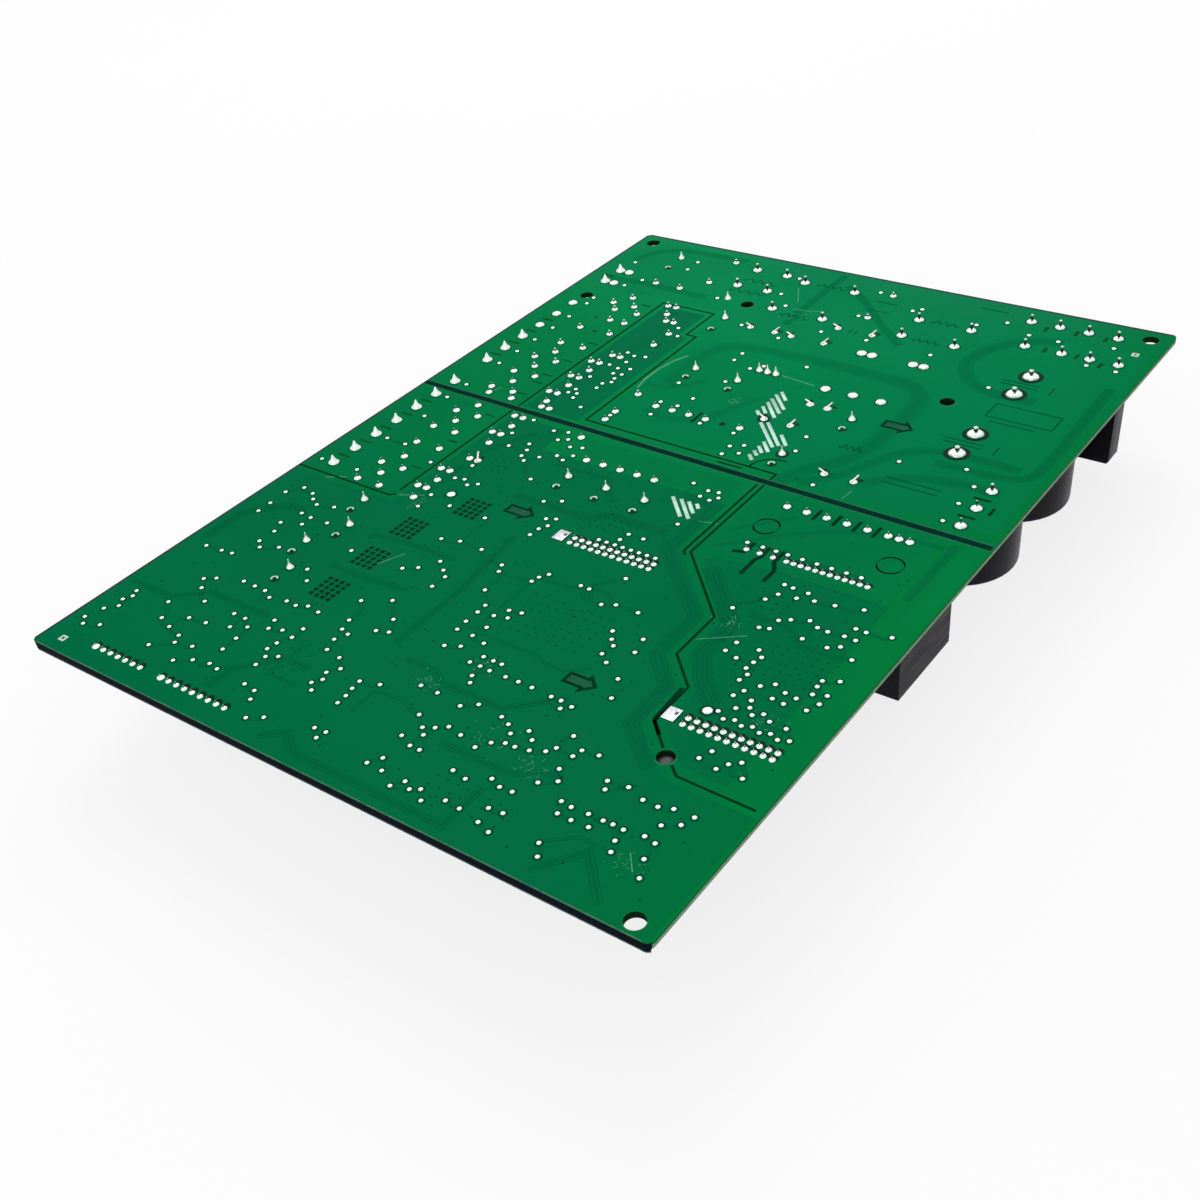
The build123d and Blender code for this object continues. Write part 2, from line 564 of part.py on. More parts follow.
# ------------------------------------------------------------------ inverter module
def module_lead_offsets():
    """Offsets of the module's leads: signal pins on one side and power pins on the other."""
    near, far = -module_row_spacing / 2, module_row_spacing / 2
    signal_start = module_signal_inset - module_screw_spacing / 2
    rows = [(near, signal_start + i * module_signal_pitch) for i in range(module_signal_count)]
    wide_start = rows[-1][1] + module_signal_pitch
    rows += [(near, wide_start + i * module_wide_pitch) for i in range(module_wide_count)]
    power_start = module_screw_spacing / 2
    rows += [(far, power_start - i * module_power_pitch) for i in range(module_power_count)]
    phase_start = rows[-1][1]
    rows += [(far, phase_start - (i + 1) * module_phase_pitch) for i in range(module_phase_count)]
    return rows


def inverter_module():
    """Flat moulded power module, screwed to the heatsink through a notch in each end."""
    body = slab(module_width, module_length, module_thickness, top=-module_standoff)
    body = chamfer(body.edges().filter_by(Axis.Z), relay_bevel)
    depth = (module_length - module_screw_spacing) / 2
    for y in spaced(2, module_length - depth):
        body -= slab(module_notch_width, depth, module_thickness, y=y, top=-module_standoff)
    return body


def module_leads():
    """Leads that leave the module's sides and turn to the board."""
    level = -module_standoff - module_thickness / 2
    leads = []
    for across, along in module_lead_offsets():
        side = 1 if across > 0 else -1
        reach = abs(across) + (module_lead_thickness - module_width) / 2
        leg = slab(module_lead_thickness, module_lead_thickness, -level, x=across, y=along)
        foot_x = side * (module_width + reach) / 2
        foot = slab(reach, module_lead_thickness, module_lead_thickness, x=foot_x, y=along, top=level)
        leads.append(leg + foot)
    return leads


def inverter_heatsink():
    """Extrusion along X: a base on the module, a thick cheek at each end and thin fins between."""
    seat = module_standoff + module_thickness
    sink = slab(module_sink_width, module_sink_length, module_sink_base, top=-seat)
    fin_top = -seat - module_sink_base
    fin_height = heatsink_height + fin_top
    cheek_place = (module_sink_length - module_sink_cheek) / 2
    for y in (-cheek_place, cheek_place):
        sink += slab(module_sink_width, module_sink_cheek, fin_height, y=y, top=fin_top)
    free = module_sink_length - 2 * module_sink_cheek
    pitch = (free + module_sink_fin) / (module_sink_fin_count + 1)
    for y in spaced(module_sink_fin_count, pitch):
        sink += slab(module_sink_width, module_sink_fin, fin_height, y=y, top=fin_top)
    return sink


# ------------------------------------------------------------------ rectifier and transistor
def bridge_rectifier():
    """Flat rectifier on edge, with a bevelled corner and a screw hole."""
    body = slab(bridge_thickness, bridge_length, bridge_height, top=-bridge_standoff)
    corner = body.edges().filter_by(Axis.X).group_by(Axis.Z)[0].sort_by(Axis.Y)[-1]
    body = chamfer(corner, bridge_bevel)
    hole = Cylinder(screw_hole_radius, bridge_thickness, rotation=(0, 90, 0), align=middle)
    return body - Pos(0, 0, bridge_hole_level) * hole


def bridge_leads():
    """Four flat leads from the rectifier to the board."""
    return [slab(bridge_lead_width / 2, bridge_lead_width, bridge_standoff, y=y) for y in bridge_lead_offsets]


def rectifier_heatsink():
    """Upright plate behind the rectifier, on two feet, with bevelled far corners."""
    across = -(bridge_thickness + plate_sink_thickness) / 2
    along = (plate_sink_length - bridge_length) / 2
    height = heatsink_height - plate_sink_gap
    plate = slab(plate_sink_thickness, plate_sink_length, height, x=across, y=along, top=-plate_sink_gap)
    far_edges = plate.edges().filter_by(Axis.X).group_by(Axis.Z)[0]
    plate = chamfer(far_edges, plate_sink_corner)
    for y in spaced(2, plate_sink_length - 2 * plate_foot_width):
        plate += slab(plate_sink_thickness, plate_foot_width, plate_sink_gap, x=across, y=along + y)
    return plate


def switching_transistor():
    """Moulded body on a metal tab with a screw hole."""
    back = transistor_body_thickness / 2
    body = slab(
        transistor_body_thickness, transistor_width, transistor_body_height, top=-transistor_standoff
    )
    tab = slab(
        transistor_tab_thickness, transistor_width, transistor_tab_height,
        x=back + transistor_tab_thickness / 2, top=-transistor_standoff,
    )
    hole = Cylinder(screw_hole_radius, transistor_tab_thickness, rotation=(0, 90, 0), align=middle)
    return body + tab - Pos(back + transistor_tab_thickness / 2, 0, transistor_hole_level) * hole


def transistor_leads():
    """Three leads from the transistor to the board."""
    width = transistor_lead_width
    return [slab(width / 2, width, transistor_standoff, y=y) for y in spaced(3, transistor_lead_pitch)]


def transistor_heatsink():
    """Upright comb extrusion behind the transistor's tab, standing on two feet."""
    front = transistor_body_thickness / 2 + transistor_tab_thickness
    height = heatsink_height - plate_sink_gap
    sink = slab(comb_sink_base, comb_sink_length, height, x=front + comb_sink_base / 2, top=-plate_sink_gap)
    fin_reach = comb_sink_depth - comb_sink_base
    fin_x = front + comb_sink_base + fin_reach / 2
    pitch = (comb_sink_length - comb_sink_fin) / (comb_sink_fin_count - 1)
    for y in spaced(comb_sink_fin_count, pitch):
        sink += slab(fin_reach, comb_sink_fin, height, x=fin_x, y=y, top=-plate_sink_gap)
    for y in spaced(2, comb_sink_length - comb_foot_width):
        sink += slab(comb_sink_base, comb_foot_width, plate_sink_gap, x=front + comb_sink_base / 2, y=y)
    return sink


# ------------------------------------------------------------------ transformer
near_yoke_level = -core_gap - core_leg
far_yoke_level = -transformer_height + core_leg
bore_depth = core_depth + 2 * bobbin_clearance
bore_length = core_middle_leg + 2 * bobbin_clearance
core_window = core_length - 2 * core_leg - 2 * bobbin_clearance


def transformer_core():
    """Two E-shaped ferrite halves that meet in the middle."""
    split = (near_yoke_level + far_yoke_level) / 2
    halves = []
    for yoke_top, leg_top, leg_height in (
        (-core_gap, near_yoke_level, near_yoke_level - split),
        (far_yoke_level, split, split - far_yoke_level),
    ):
        half = slab(core_depth, core_length, core_leg, top=yoke_top)
        for y in spaced(2, core_length - core_leg):
            half += slab(core_depth, core_leg, leg_height, y=y, top=leg_top)
        halves.append(half + slab(core_depth, core_middle_leg, leg_height, top=leg_top))
    return halves


def transformer_bobbin():
    """Spool on the middle leg, with a pin rail on each side of the near yoke."""
    near = near_yoke_level - bobbin_clearance
    far = far_yoke_level + bobbin_clearance
    rail_width = transformer_row_spacing + bobbin_rail_width
    spool = slab(rail_width, core_window, bobbin_flange, top=near)
    for x in spaced(2, transformer_row_spacing):
        rail_length = bobbin_length + bobbin_rail_overhang
        spool += slab(bobbin_rail_width, rail_length, bobbin_flange - near, x=x, y=-bobbin_rail_overhang / 2)
    spool += slab(rail_width - 2 * bobbin_rail_width, core_window, bobbin_flange, top=far + bobbin_flange)
    spool += slab(bore_depth + 2 * bobbin_wall, bore_length + 2 * bobbin_wall, near - far, top=near)
    return spool - slab(bore_depth, bore_length, -far)


def transformer_winding():
    """Taped winding between the spool's flanges."""
    top = near_yoke_level - bobbin_clearance - bobbin_flange
    height = top - far_yoke_level - bobbin_clearance - bobbin_flange
    outer_depth = transformer_row_spacing - bobbin_rail_width - 2 * winding_margin
    winding = slab(outer_depth, core_window - 2 * winding_margin, height, top=top)
    winding = chamfer(winding.edges().filter_by(Axis.Z), winding_bevel)
    return winding - slab(bore_depth + 2 * bobbin_wall, bore_length + 2 * bobbin_wall, height, top=top)


# ------------------------------------------------------------------ line filter chokes
def choke_core(length, height, depth, bar):
    """Upright ferrite frame with a middle bar, standing on its base."""
    frame = Box(length, depth, height, align=middle)
    window_height = (height - 3 * bar) / 2
    window = Box(length - 2 * bar, depth, window_height, align=middle)
    step = (bar + window_height) / 2
    for z in (-step, step):
        frame -= Pos(0, 0, z) * window
    return Pos(0, 0, -choke_base_height - height / 2) * frame


def choke_bobbin(length, height, depth, bar, pins_across, pins_along):
    """Moulded base under the frame, and three square flanges on a tube round the middle bar."""
    window_height = (height - 3 * bar) / 2
    room = length - 2 * bar
    reach = window_height - bobbin_clearance
    flange = (bar + 2 * reach, depth + 2 * reach)
    bobbin = Box(room, depth + 2 * bobbin_wall, bar + 2 * bobbin_wall, align=middle)
    for x in spaced(3, (room - choke_flange) / 2):
        bobbin += Pos(x, 0, 0) * Box(choke_flange, flange[1], flange[0], align=middle)
    gap = 2 * bobbin_clearance
    bobbin -= Box(room, depth + gap, bar + gap, align=middle)
    margin = 2 * choke_base_margin
    base = slab(pins_across + margin, pins_along + margin, choke_base_height)
    return [Pos(0, 0, -choke_base_height - height / 2) * bobbin, base]


def choke_windings(length, height, depth, bar):
    """Two wound coils with bevelled corners, one each side of the middle flange."""
    window_height = (height - 3 * bar) / 2
    room = length - 2 * bar
    reach = window_height - bobbin_clearance - choke_winding_clearance
    coil_length = (room - 3 * choke_flange) / 2
    outer = Box(coil_length, depth + 2 * reach, bar + 2 * reach, align=middle)
    outer = chamfer(outer.edges().filter_by(Axis.X), choke_winding_bevel)
    coil = outer - Box(coil_length, depth + 2 * bobbin_wall, bar + 2 * bobbin_wall, align=middle)
    level = -choke_base_height - height / 2
    return [Pos(x, 0, level) * coil for x in spaced(2, coil_length + choke_flange)]


# ------------------------------------------------------------------ fuse and resistors
def fuse():
    """Tube fuse along Y."""
    tube = Cylinder(fuse_radius, fuse_length, rotation=(90, 0, 0), align=middle)
    return Pos(0, 0, -fuse_axis_height) * tube


def fuse_clips():
    """Two sprung clips that hold the fuse by its caps."""
    inner = 2 * (fuse_radius + clip_clearance)
    clips = []
    for y in spaced(2, fuse_length - fuse_cap_length):
        clip = slab(inner + 2 * clip_sheet, clip_length, clip_height, y=y)
        clips.append(clip - slab(inner, clip_length, clip_height - clip_sheet, y=y, top=-clip_sheet))
    return clips


def axial_resistor(lead_pitch):
    """Round body lying along Y, with a lead from each end to the board."""
    level = -resistor_radius
    outline = Rot(90, 0, 0) * RegularPolygon(resistor_radius, resistor_sides)
    part = Pos(0, 0, level) * extrude(outline, resistor_length / 2, both=True)
    width = resistor_lead_width
    reach = (lead_pitch - resistor_length + width) / 2
    for side in (-1, 1):
        y = side * (resistor_length + reach) / 2
        part += slab(width, reach, width, y=y, top=level + width / 2)
        part += slab(width, width, -level, y=side * lead_pitch / 2)
    return part


# ------------------------------------------------------------------ connectors
def power_header(count):
    """Friction-lock header: a base bar and a windowed wall behind the posts, which stand along X."""
    length = (count - 1) * power_pitch + power_end
    header = slab(length, power_depth, power_base_height)
    wall_y = (power_depth - power_wall) / 2
    header += slab(length, power_wall, power_wall_height, y=wall_y)
    for x in spaced(count, power_pitch):
        header -= slab(
            power_window_width, power_wall, power_window_height,
            x=x, y=wall_y, top=-power_base_height - power_window_height / 2,
        )
    return Pos(0, -power_post_row, 0) * header


def power_posts(count):
    """Square posts of a power header."""
    post = slab(power_post_width, power_post_width, power_post_length, top=-power_base_height)
    return [Pos(x, 0, 0) * post for x in spaced(count, power_pitch)]


def shroud(length, depth, height, wall, floor, slots, slot_width):
    """Open box with slots in one long wall."""
    box = slab(length, depth, height) - slab(length - 2 * wall, depth - 2 * wall, height - floor, top=-floor)
    for x in slots:
        box -= slab(slot_width, wall, height - floor, x=x, y=(depth - wall) / 2, top=-floor)
    return box


def wafer_length(count):
    """Outer length of a wafer connector."""
    return (count - 1) * wafer_pitch + wafer_end


def wafer_housing(count):
    """Shrouded single-row connector with two slots in its wall."""
    slots = spaced(2, (count - 3) * wafer_pitch)
    return shroud(
        wafer_length(count), wafer_depth, wafer_height, wafer_wall, wafer_floor, slots, wafer_slot_width
    )


def wafer_pins(count):
    """Pins that stand on the wafer's floor."""
    height = wafer_height - wafer_floor - pin_recess
    width = wafer_pin_width
    return [slab(width, width, height, x=x, top=-wafer_floor) for x in spaced(count, wafer_pitch)]


def box_housing(count):
    """Shrouded two-row connector with a key slot."""
    length = (count - 1) * box_pitch + box_end
    return shroud(length, box_depth, box_height, box_wall, box_floor, (0.0,), box_key_width)


def box_pin_offsets(count):
    """Offsets of the pins of a two-row connector along X."""
    return [(x, y) for x in spaced(count, box_pitch) for y in spaced(2, box_pitch)]


def box_pins(count):
    """Pins that stand on the box header's floor."""
    height = box_height - box_floor - pin_recess
    width = box_pin_width
    return [slab(width, width, height, x=x, y=y, top=-box_floor) for x, y in box_pin_offsets(count)]


# ------------------------------------------------------------------ chips
def chip(length, width, height=chip_height):
    """Moulded package with bevelled far edges."""
    body = slab(length, width, height)
    return chamfer(body.edges().group_by(Axis.Z)[0], chip_bevel)


# ------------------------------------------------------------------ assembly
def write_capacitors():
    """Bus, filter and small electrolytic capacitors, film and disc capacitors."""
    for number, place in enumerate(bus_can_spots, 1):
        save(f"bus_capacitor_{number}", hang(bus_capacitor(), place))
        solder("heavy", place, [(x, 0) for x in spaced(2, bus_lead_pitch)])
    small_can = small_capacitor()
    save("small_electrolytics", *(hang(small_can, place) for place in small_can_spots))
    for place in small_can_spots:
        solder("plain", place, [(-small_lead_pitch / 2, 0)])
        solder("spike", place, [(small_lead_pitch / 2, 0)])
    save("filter_electrolytic", hang(capacitor_can(filter_can_radius, filter_can_height), filter_can_spot))
    solder("plain", filter_can_spot, [(-filter_lead_pitch / 2, 0)])
    solder("spike", filter_can_spot, [(filter_lead_pitch / 2, 0)])
    save("film_capacitors", *(hang(film_capacitor(), place) for place in film_spots))
    for place in film_spots:
        solder("plain", place, [(x, 0) for x in spaced(2, film_lead_pitch)])


def placed_disc(place, radius, thickness, lead_pitch, turn=0):
    """One disc on the board, with its joints noted."""
    solder("plain", place, [(0, x) if turn == 90 else (x, 0) for x in spaced(2, lead_pitch)])
    return hang(disc_part(radius, thickness, lead_pitch), place, turn)


def write_discs():
    """Class Y and snubber capacitors, varistor and thermistor."""
    discs = [placed_disc(place, *class_y_disc) for place in class_y_spots]
    save("disc_capacitors", *discs, placed_disc(snubber_disc_spot, *snubber_disc, turn=90))
    save("varistor", placed_disc(varistor_spot, *varistor_disc))
    save("inrush_thermistor", placed_disc(thermistor_spot, *thermistor_disc, turn=90))


def write_relays():
    """Plain, solid-state and power relays."""
    for number, column in enumerate(relay_columns, 1):
        place = (column, relay_row)
        save(f"relay_{number}", hang(bevelled_case(relay_width, relay_length, relay_height), place))
        solder("plain", place, relay_pins)
    for number, place in enumerate(solid_relay_spots, 1):
        save(f"solid_state_relay_{number}", hang(solid_state_relay(), place))
        solder("plain", place, [(0, y) for y in solid_relay_lead_offsets])
    case = bevelled_case(power_relay_width, power_relay_length, power_relay_height)
    save("power_relay", hang(case, power_relay_spot))
    solder("plain", power_relay_spot, power_relay_pins)


def write_power_stage():
    """Inverter module, rectifier, transistor and their heatsinks; returns the leads."""
    save("inverter_module", hang(inverter_module(), module_spot))
    save("inverter_heatsink", hang(inverter_heatsink(), module_spot))
    for offset in module_lead_offsets():
        solder("fine" if offset[0] < 0 else "plain", module_spot, [offset])
    save("bridge_rectifier", hang(bridge_rectifier(), bridge_spot))
    save("rectifier_heatsink", hang(rectifier_heatsink(), bridge_spot))
    solder("broad", bridge_spot, [(0, y) for y in bridge_lead_offsets])
    save("switching_transistor", hang(switching_transistor(), transistor_spot))
    save("transistor_heatsink", hang(transistor_heatsink(), transistor_spot))
    solder("spike", transistor_spot, [(0, y) for y in spaced(3, transistor_lead_pitch)])
    leads = [hang(lead, module_spot) for lead in module_leads()]
    leads += [hang(lead, bridge_spot) for lead in bridge_leads()]
    return leads + [hang(lead, transistor_spot) for lead in transistor_leads()]


def write_magnetics():
    """Transformer and line filter chokes."""
    save("transformer_core", *(hang(half, transformer_spot) for half in transformer_core()))
    save("transformer_bobbin", hang(transformer_bobbin(), transformer_spot))
    save("transformer_winding", hang(transformer_winding(), transformer_spot))
    along = spaced(transformer_pin_count, transformer_pin_pitch)
    row = transformer_row_spacing / 2
    skipped = [-transformer_pin_pitch * (transformer_pin_count + 1) / 2, *along[1:]]
    solder("plain", transformer_spot, [(-row, y) for y in along] + [(row, y) for y in skipped])
    windings = []
    for name, (column, row, turn, length, height, depth, bar, across, along) in chokes.items():
        place = (column, row)
        save(f"{name}_core", hang(choke_core(length, height, depth, bar), place, turn))
        bobbin = choke_bobbin(length, height, depth, bar, across, along)
        save(f"{name}_bobbin", *(hang(piece, place, turn) for piece in bobbin))
        windings += [hang(coil, place, turn) for coil in choke_windings(length, height, depth, bar)]
        pins = [(x, y) for x in spaced(2, across) for y in spaced(2, along)]
        solder("broad", place, [(y, x) for x, y in pins] if turn == 90 else pins)
    save("choke_windings", *windings)


def write_connectors():
    """Power headers, wafer connectors and box headers with their pins."""
    posts = []
    power = (
        ("load_header_1", (load_header_a[0], load_header_row), load_header_a[1], 0),
        ("load_header_2", (load_header_b[0], load_header_row), load_header_b[1], 0),
        ("heater_header", (heater_header_column, load_header_row), 2, 0),
        ("compressor_header", compressor_header_spot, 3, 0),
        ("reactor_header", reactor_header_spot, 3, 90),
        ("supply_header", supply_header_spot, 4, -90),
    )
    for name, place, count, turn in power:
        save(name, hang(power_header(count), place, turn))
        posts += [hang(post_part, place, turn) for post_part in power_posts(count)]
        steps = spaced(count, power_pitch)
        solder("broad", place, [(x, 0) for x in steps] if turn in (0, 180) else [(0, x) for x in steps])
    heater = (heater_header_column, load_header_row)
    solder("broad", heater, [(x, -heater_row_pitch) for x in spaced(2, power_pitch)])
    for number, (row, count) in enumerate((wafer_a, wafer_b), 1):
        place = (wafer_column, row)
        save(f"wafer_connector_{number}", hang(wafer_housing(count), place, 90))
        posts += [hang(pin, place, 90) for pin in wafer_pins(count)]
        solder("fine", place, [(0, y) for y in spaced(count, wafer_pitch)])
    for number, (column, row, count) in enumerate((box_header_a, box_header_b), 1):
        place = (column, row)
        save(f"box_header_{number}", hang(box_housing(count), place, 90))
        posts += [hang(pin, place, 90) for pin in box_pins(count)]
        solder("fine", place, [(y, x) for x, y in box_pin_offsets(count)])
    save("connector_pins", *posts)


def write_small_parts():
    """Fuse, resistors, chips and chip passives."""
    save("fuse", hang(fuse(), fuse_spot))
    save("fuse_clips", *(hang(clip, fuse_spot) for clip in fuse_clips()))
    clip_step = clip_length / 3
    solder("broad", fuse_spot, [
        (0, y + side * clip_step) for y in spaced(2, fuse_length - fuse_cap_length) for side in (-1, 1)
    ])
    resistors = [hang(axial_resistor(pitch), (column, row)) for column, row, pitch in resistor_places]
    save("axial_resistors", *resistors)
    for column, row, pitch in resistor_places:
        solder("plain", (column, row), [(0, y) for y in spaced(2, pitch)])
    main_chip = hang(chip(controller_width, controller_width), controller_spot)
    drive_chip = hang(chip(drive_controller_width, drive_controller_width), drive_controller_spot)
    save("controllers", main_chip, drive_chip)
    driver = chip(driver_length, driver_width)
    save("driver_chips", *(hang(driver, place) for place in driver_spots))
    small = chip(small_chip_length, small_chip_width)
    save("logic_chips", *(hang(small, place) for place in small_chip_spots))
    coupler = chip(coupler_length, coupler_width, coupler_height)
    save("optocouplers", *(hang(coupler, place) for place in coupler_spots))
    passives = [
        hang(slab(passive_length, passive_width, passive_height), (column + i * across, row + i * along))
        for column, row, count, across, along in passive_rows
        for i in range(count)
    ]
    save("chip_passives", *passives)


def main():
    """Writes every node of the board."""
    os.makedirs("parts", exist_ok=True)
    save("circuit_board", circuit_board())
    write_capacitors()
    write_discs()
    write_relays()
    save("component_leads", *write_power_stage())
    write_magnetics()
    write_connectors()
    write_small_parts()
    save("solder_joints", *solder_joints())
    save("solder_lands", *test_lands(), *solder_stripes())


main()
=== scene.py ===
"""Looks of a refrigerator control board that lies solder side up.

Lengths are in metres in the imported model's frame, except where a name or a docstring says millimetres.
"""

import json
import logging
import math
from dataclasses import dataclass
from enum import Enum

import bpy
import numpy as np
from mathutils import Matrix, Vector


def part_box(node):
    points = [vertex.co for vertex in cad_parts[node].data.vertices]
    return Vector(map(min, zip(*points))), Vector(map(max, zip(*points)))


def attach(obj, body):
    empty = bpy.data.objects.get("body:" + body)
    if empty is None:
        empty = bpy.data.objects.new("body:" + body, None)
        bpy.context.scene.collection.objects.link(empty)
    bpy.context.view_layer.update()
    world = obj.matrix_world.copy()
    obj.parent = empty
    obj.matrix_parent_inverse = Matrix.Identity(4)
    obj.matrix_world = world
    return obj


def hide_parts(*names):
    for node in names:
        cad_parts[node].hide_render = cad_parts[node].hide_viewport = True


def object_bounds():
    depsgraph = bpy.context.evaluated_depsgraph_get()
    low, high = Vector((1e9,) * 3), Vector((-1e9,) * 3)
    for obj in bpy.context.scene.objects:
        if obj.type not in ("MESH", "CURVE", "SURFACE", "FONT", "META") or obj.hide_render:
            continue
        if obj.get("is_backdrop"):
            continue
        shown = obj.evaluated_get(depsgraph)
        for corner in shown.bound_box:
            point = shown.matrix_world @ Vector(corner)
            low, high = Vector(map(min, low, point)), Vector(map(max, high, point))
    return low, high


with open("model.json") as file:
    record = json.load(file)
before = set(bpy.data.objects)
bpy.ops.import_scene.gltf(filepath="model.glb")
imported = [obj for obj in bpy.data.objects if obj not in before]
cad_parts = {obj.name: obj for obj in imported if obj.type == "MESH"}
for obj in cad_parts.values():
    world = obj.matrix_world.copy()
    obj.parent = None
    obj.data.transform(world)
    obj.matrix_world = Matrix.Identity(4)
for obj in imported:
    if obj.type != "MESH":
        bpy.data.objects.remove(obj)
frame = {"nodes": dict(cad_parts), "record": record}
log = logging.getLogger("control_board")

MM = 0.001
ROOT = "root"
TONE = "tone"
Colour = tuple[int, int, int]
Stops = tuple[tuple[float, Colour], ...]
Spots = tuple[tuple[float, float], ...]
Triple = tuple[float, float, float]


def linear(colour: Colour) -> tuple[float, float, float, float]:
    """Turns a colour of 0 to 255 steps into linear light with full alpha.

    Args:
        colour: Red, green and blue as they are seen.

    Returns:
        Red, green, blue and alpha for a shader socket.
    """
    seen = np.array(colour, float) / 255
    light = np.where(seen <= 0.04045, seen / 12.92, ((seen + 0.055) / 1.055) ** 2.4)
    return (*light.tolist(), 1.0)


# ---------------------------------------------------------------- surfaces
@dataclass
class Surface:
    """Points with the faces between them."""

    points: np.ndarray
    faces: list[list[int]]

    def moved(self, x: float, y: float, z: float) -> "Surface":
        """Gives the same surface at another place."""
        return Surface(self.points + np.array((x, y, z)), self.faces)


def wrapped_faces(rings: int, sides: int, capped: bool = True) -> list[list[int]]:
    """Faces of a tube of rings: each quad joins two neighbours on a ring with the same two on the next ring.

    Args:
        rings: Number of rings along the tube.
        sides: Number of points on each ring.
        capped: Whether the first and last rings are closed by one face.

    Returns:
        Point numbers of each face, turned outwards for rings that run up from the first.
    """
    ring, side = np.meshgrid(np.arange(rings - 1), np.arange(sides), indexing="ij")
    here, after = ring * sides + side, ring * sides + (side + 1) % sides
    quads = np.stack((here, after, after + sides, here + sides), axis=-1).reshape(-1, 4).tolist()
    if capped:
        quads.append(list(range(sides))[::-1])
        quads.append(list(range((rings - 1) * sides, rings * sides)))
    return quads


def lathe(profile: np.ndarray, sides: int) -> Surface:
    """Turns a half outline about Z: x is radius times cosine, y is radius times sine, at even angles.

    Args:
        profile: Rows of (radius, height), from the bottom up.
        sides: Number of points round the axis.

    Returns:
        The closed surface.
    """
    angle = np.linspace(0, 2 * math.pi, sides, endpoint=False)
    radius, height = profile[:, 0:1], profile[:, 1:2]
    points = np.stack(
        (radius * np.cos(angle), radius * np.sin(angle), np.broadcast_to(height, (len(profile), sides))),
        axis=-1,
    )
    return Surface(points.reshape(-1, 3), wrapped_faces(len(profile), sides))


def ribbon(path: np.ndarray, profile: np.ndarray, level: float, closed: bool = False) -> Surface:
    """Carries a profile along a flat path.

    At each path point the profile lies along the mitre, which is the sum of the two neighbouring normals
    divided by its own share along either of them, so that the ribbon keeps its width round corners.

    Args:
        path: Rows of (x, y).
        profile: Closed outline as rows of (across, up), going from the right bottom corner upwards.
        level: Height of the profile's zero.
        closed: Whether the last path point joins the first.

    Returns:
        The closed surface.
    """
    ahead = np.roll(path, -1, 0) - path if closed else np.diff(path, axis=0)
    ahead = ahead / np.linalg.norm(ahead, axis=1, keepdims=True)
    normal = np.stack((-ahead[:, 1], ahead[:, 0]), axis=1)
    before = np.roll(normal, 1, 0) if closed else np.concatenate((normal[:1], normal))
    after = normal if closed else np.concatenate((normal, normal[-1:]))
    mitre = before + after
    mitre = mitre / (mitre * after).sum(1, keepdims=True)
    flat = path[:, None, :] + profile[None, :, 0:1] * mitre[:, None, :]
    height = np.broadcast_to(profile[:, 1] + level, flat.shape[:2])[..., None]
    points = np.concatenate((flat, height), axis=2)
    if closed:
        points = np.concatenate((points, points[:1]))
    return Surface(points.reshape(-1, 3), wrapped_faces(len(points), len(profile), not closed))


def plate(outline: np.ndarray, level: float, height: float) -> Surface:
    """Flat plate over an outline: the outline at its foot and again at its top, with a wall between.

    Args:
        outline: Rows of (x, y), turning left.
        level: Height of its foot.
        height: Its thickness.

    Returns:
        The closed surface.
    """
    feet = np.column_stack((outline, np.full(len(outline), level)))
    return Surface(np.concatenate((feet, feet + (0.0, 0.0, height))), wrapped_faces(2, len(outline)))


def softened(path: np.ndarray, rounds: int = 3) -> np.ndarray:
    """Rounds a path's bends: each round cuts every leg at a quarter and three quarters of its length.

    Args:
        path: Rows of (x, y).
        rounds: How often the legs are cut.

    Returns:
        The smoother path between the same ends.
    """
    for _ in range(rounds):
        cuts = np.stack((0.75 * path[:-1] + 0.25 * path[1:], 0.25 * path[:-1] + 0.75 * path[1:]), axis=1)
        path = np.concatenate((path[:1], cuts.reshape(-1, 2), path[-1:]))
    return path


def holds(outline: np.ndarray, spot: np.ndarray) -> bool:
    """Whether a spot is inside an outline: the angles to its corners, seen from there, add to a full turn.

    Args:
        outline: Its corners in turn.
        spot: The spot.

    Returns:
        True for a spot inside.
    """
    way = outline - spot
    after = np.roll(way, -1, 0)
    turn = np.arctan2(way[:, 0] * after[:, 1] - way[:, 1] * after[:, 0], (way * after).sum(1))
    return abs(float(turn.sum())) > math.pi


def notched(outline: np.ndarray, spot: np.ndarray, radius: float, slit: float) -> np.ndarray:
    """Opens a round hole in an outline and joins it to the nearest side by a narrow slit.

    The nearest place on a side is its start plus the side times the share of the spot's way along it, kept
    between its ends. The hole's rim starts beside the slit and goes round against the outline's turn.

    Args:
        outline: Rows of (x, y), turning left.
        spot: Middle of the hole.
        radius: Its radius.
        slit: Width of the slit.

    Returns:
        The outline with the hole.
    """
    side = np.roll(outline, -1, 0) - outline
    length = np.linalg.norm(side, axis=1)
    share = np.clip(((spot - outline) * side).sum(1) / length**2, 0.05, 0.95)
    foot = outline + share[:, None] * side
    nearest = int(np.linalg.norm(foot - spot, axis=1).argmin())
    step = side[nearest] / length[nearest] * slit / 2
    start = math.atan2(*(foot[nearest] - spot)[::-1])
    margin = slit / 2 / radius
    angle = np.linspace(start - margin, start - 2 * math.pi + margin, 29)
    rim = spot + radius * np.column_stack((np.cos(angle), np.sin(angle)))
    path = np.concatenate((foot[nearest : nearest + 1] - step, rim, foot[nearest : nearest + 1] + step))
    return np.concatenate((outline[: nearest + 1], path, outline[nearest + 1 :]))


def low_profile(width: float, height: float, slope: float = 0.0) -> np.ndarray:
    """Outline of a low strip, its sides leaning in by slope: right foot, left foot, left top, right top."""
    half = width / 2
    return np.array(((-half, 0.0), (half, 0.0), (half - slope, height), (slope - half, height)))


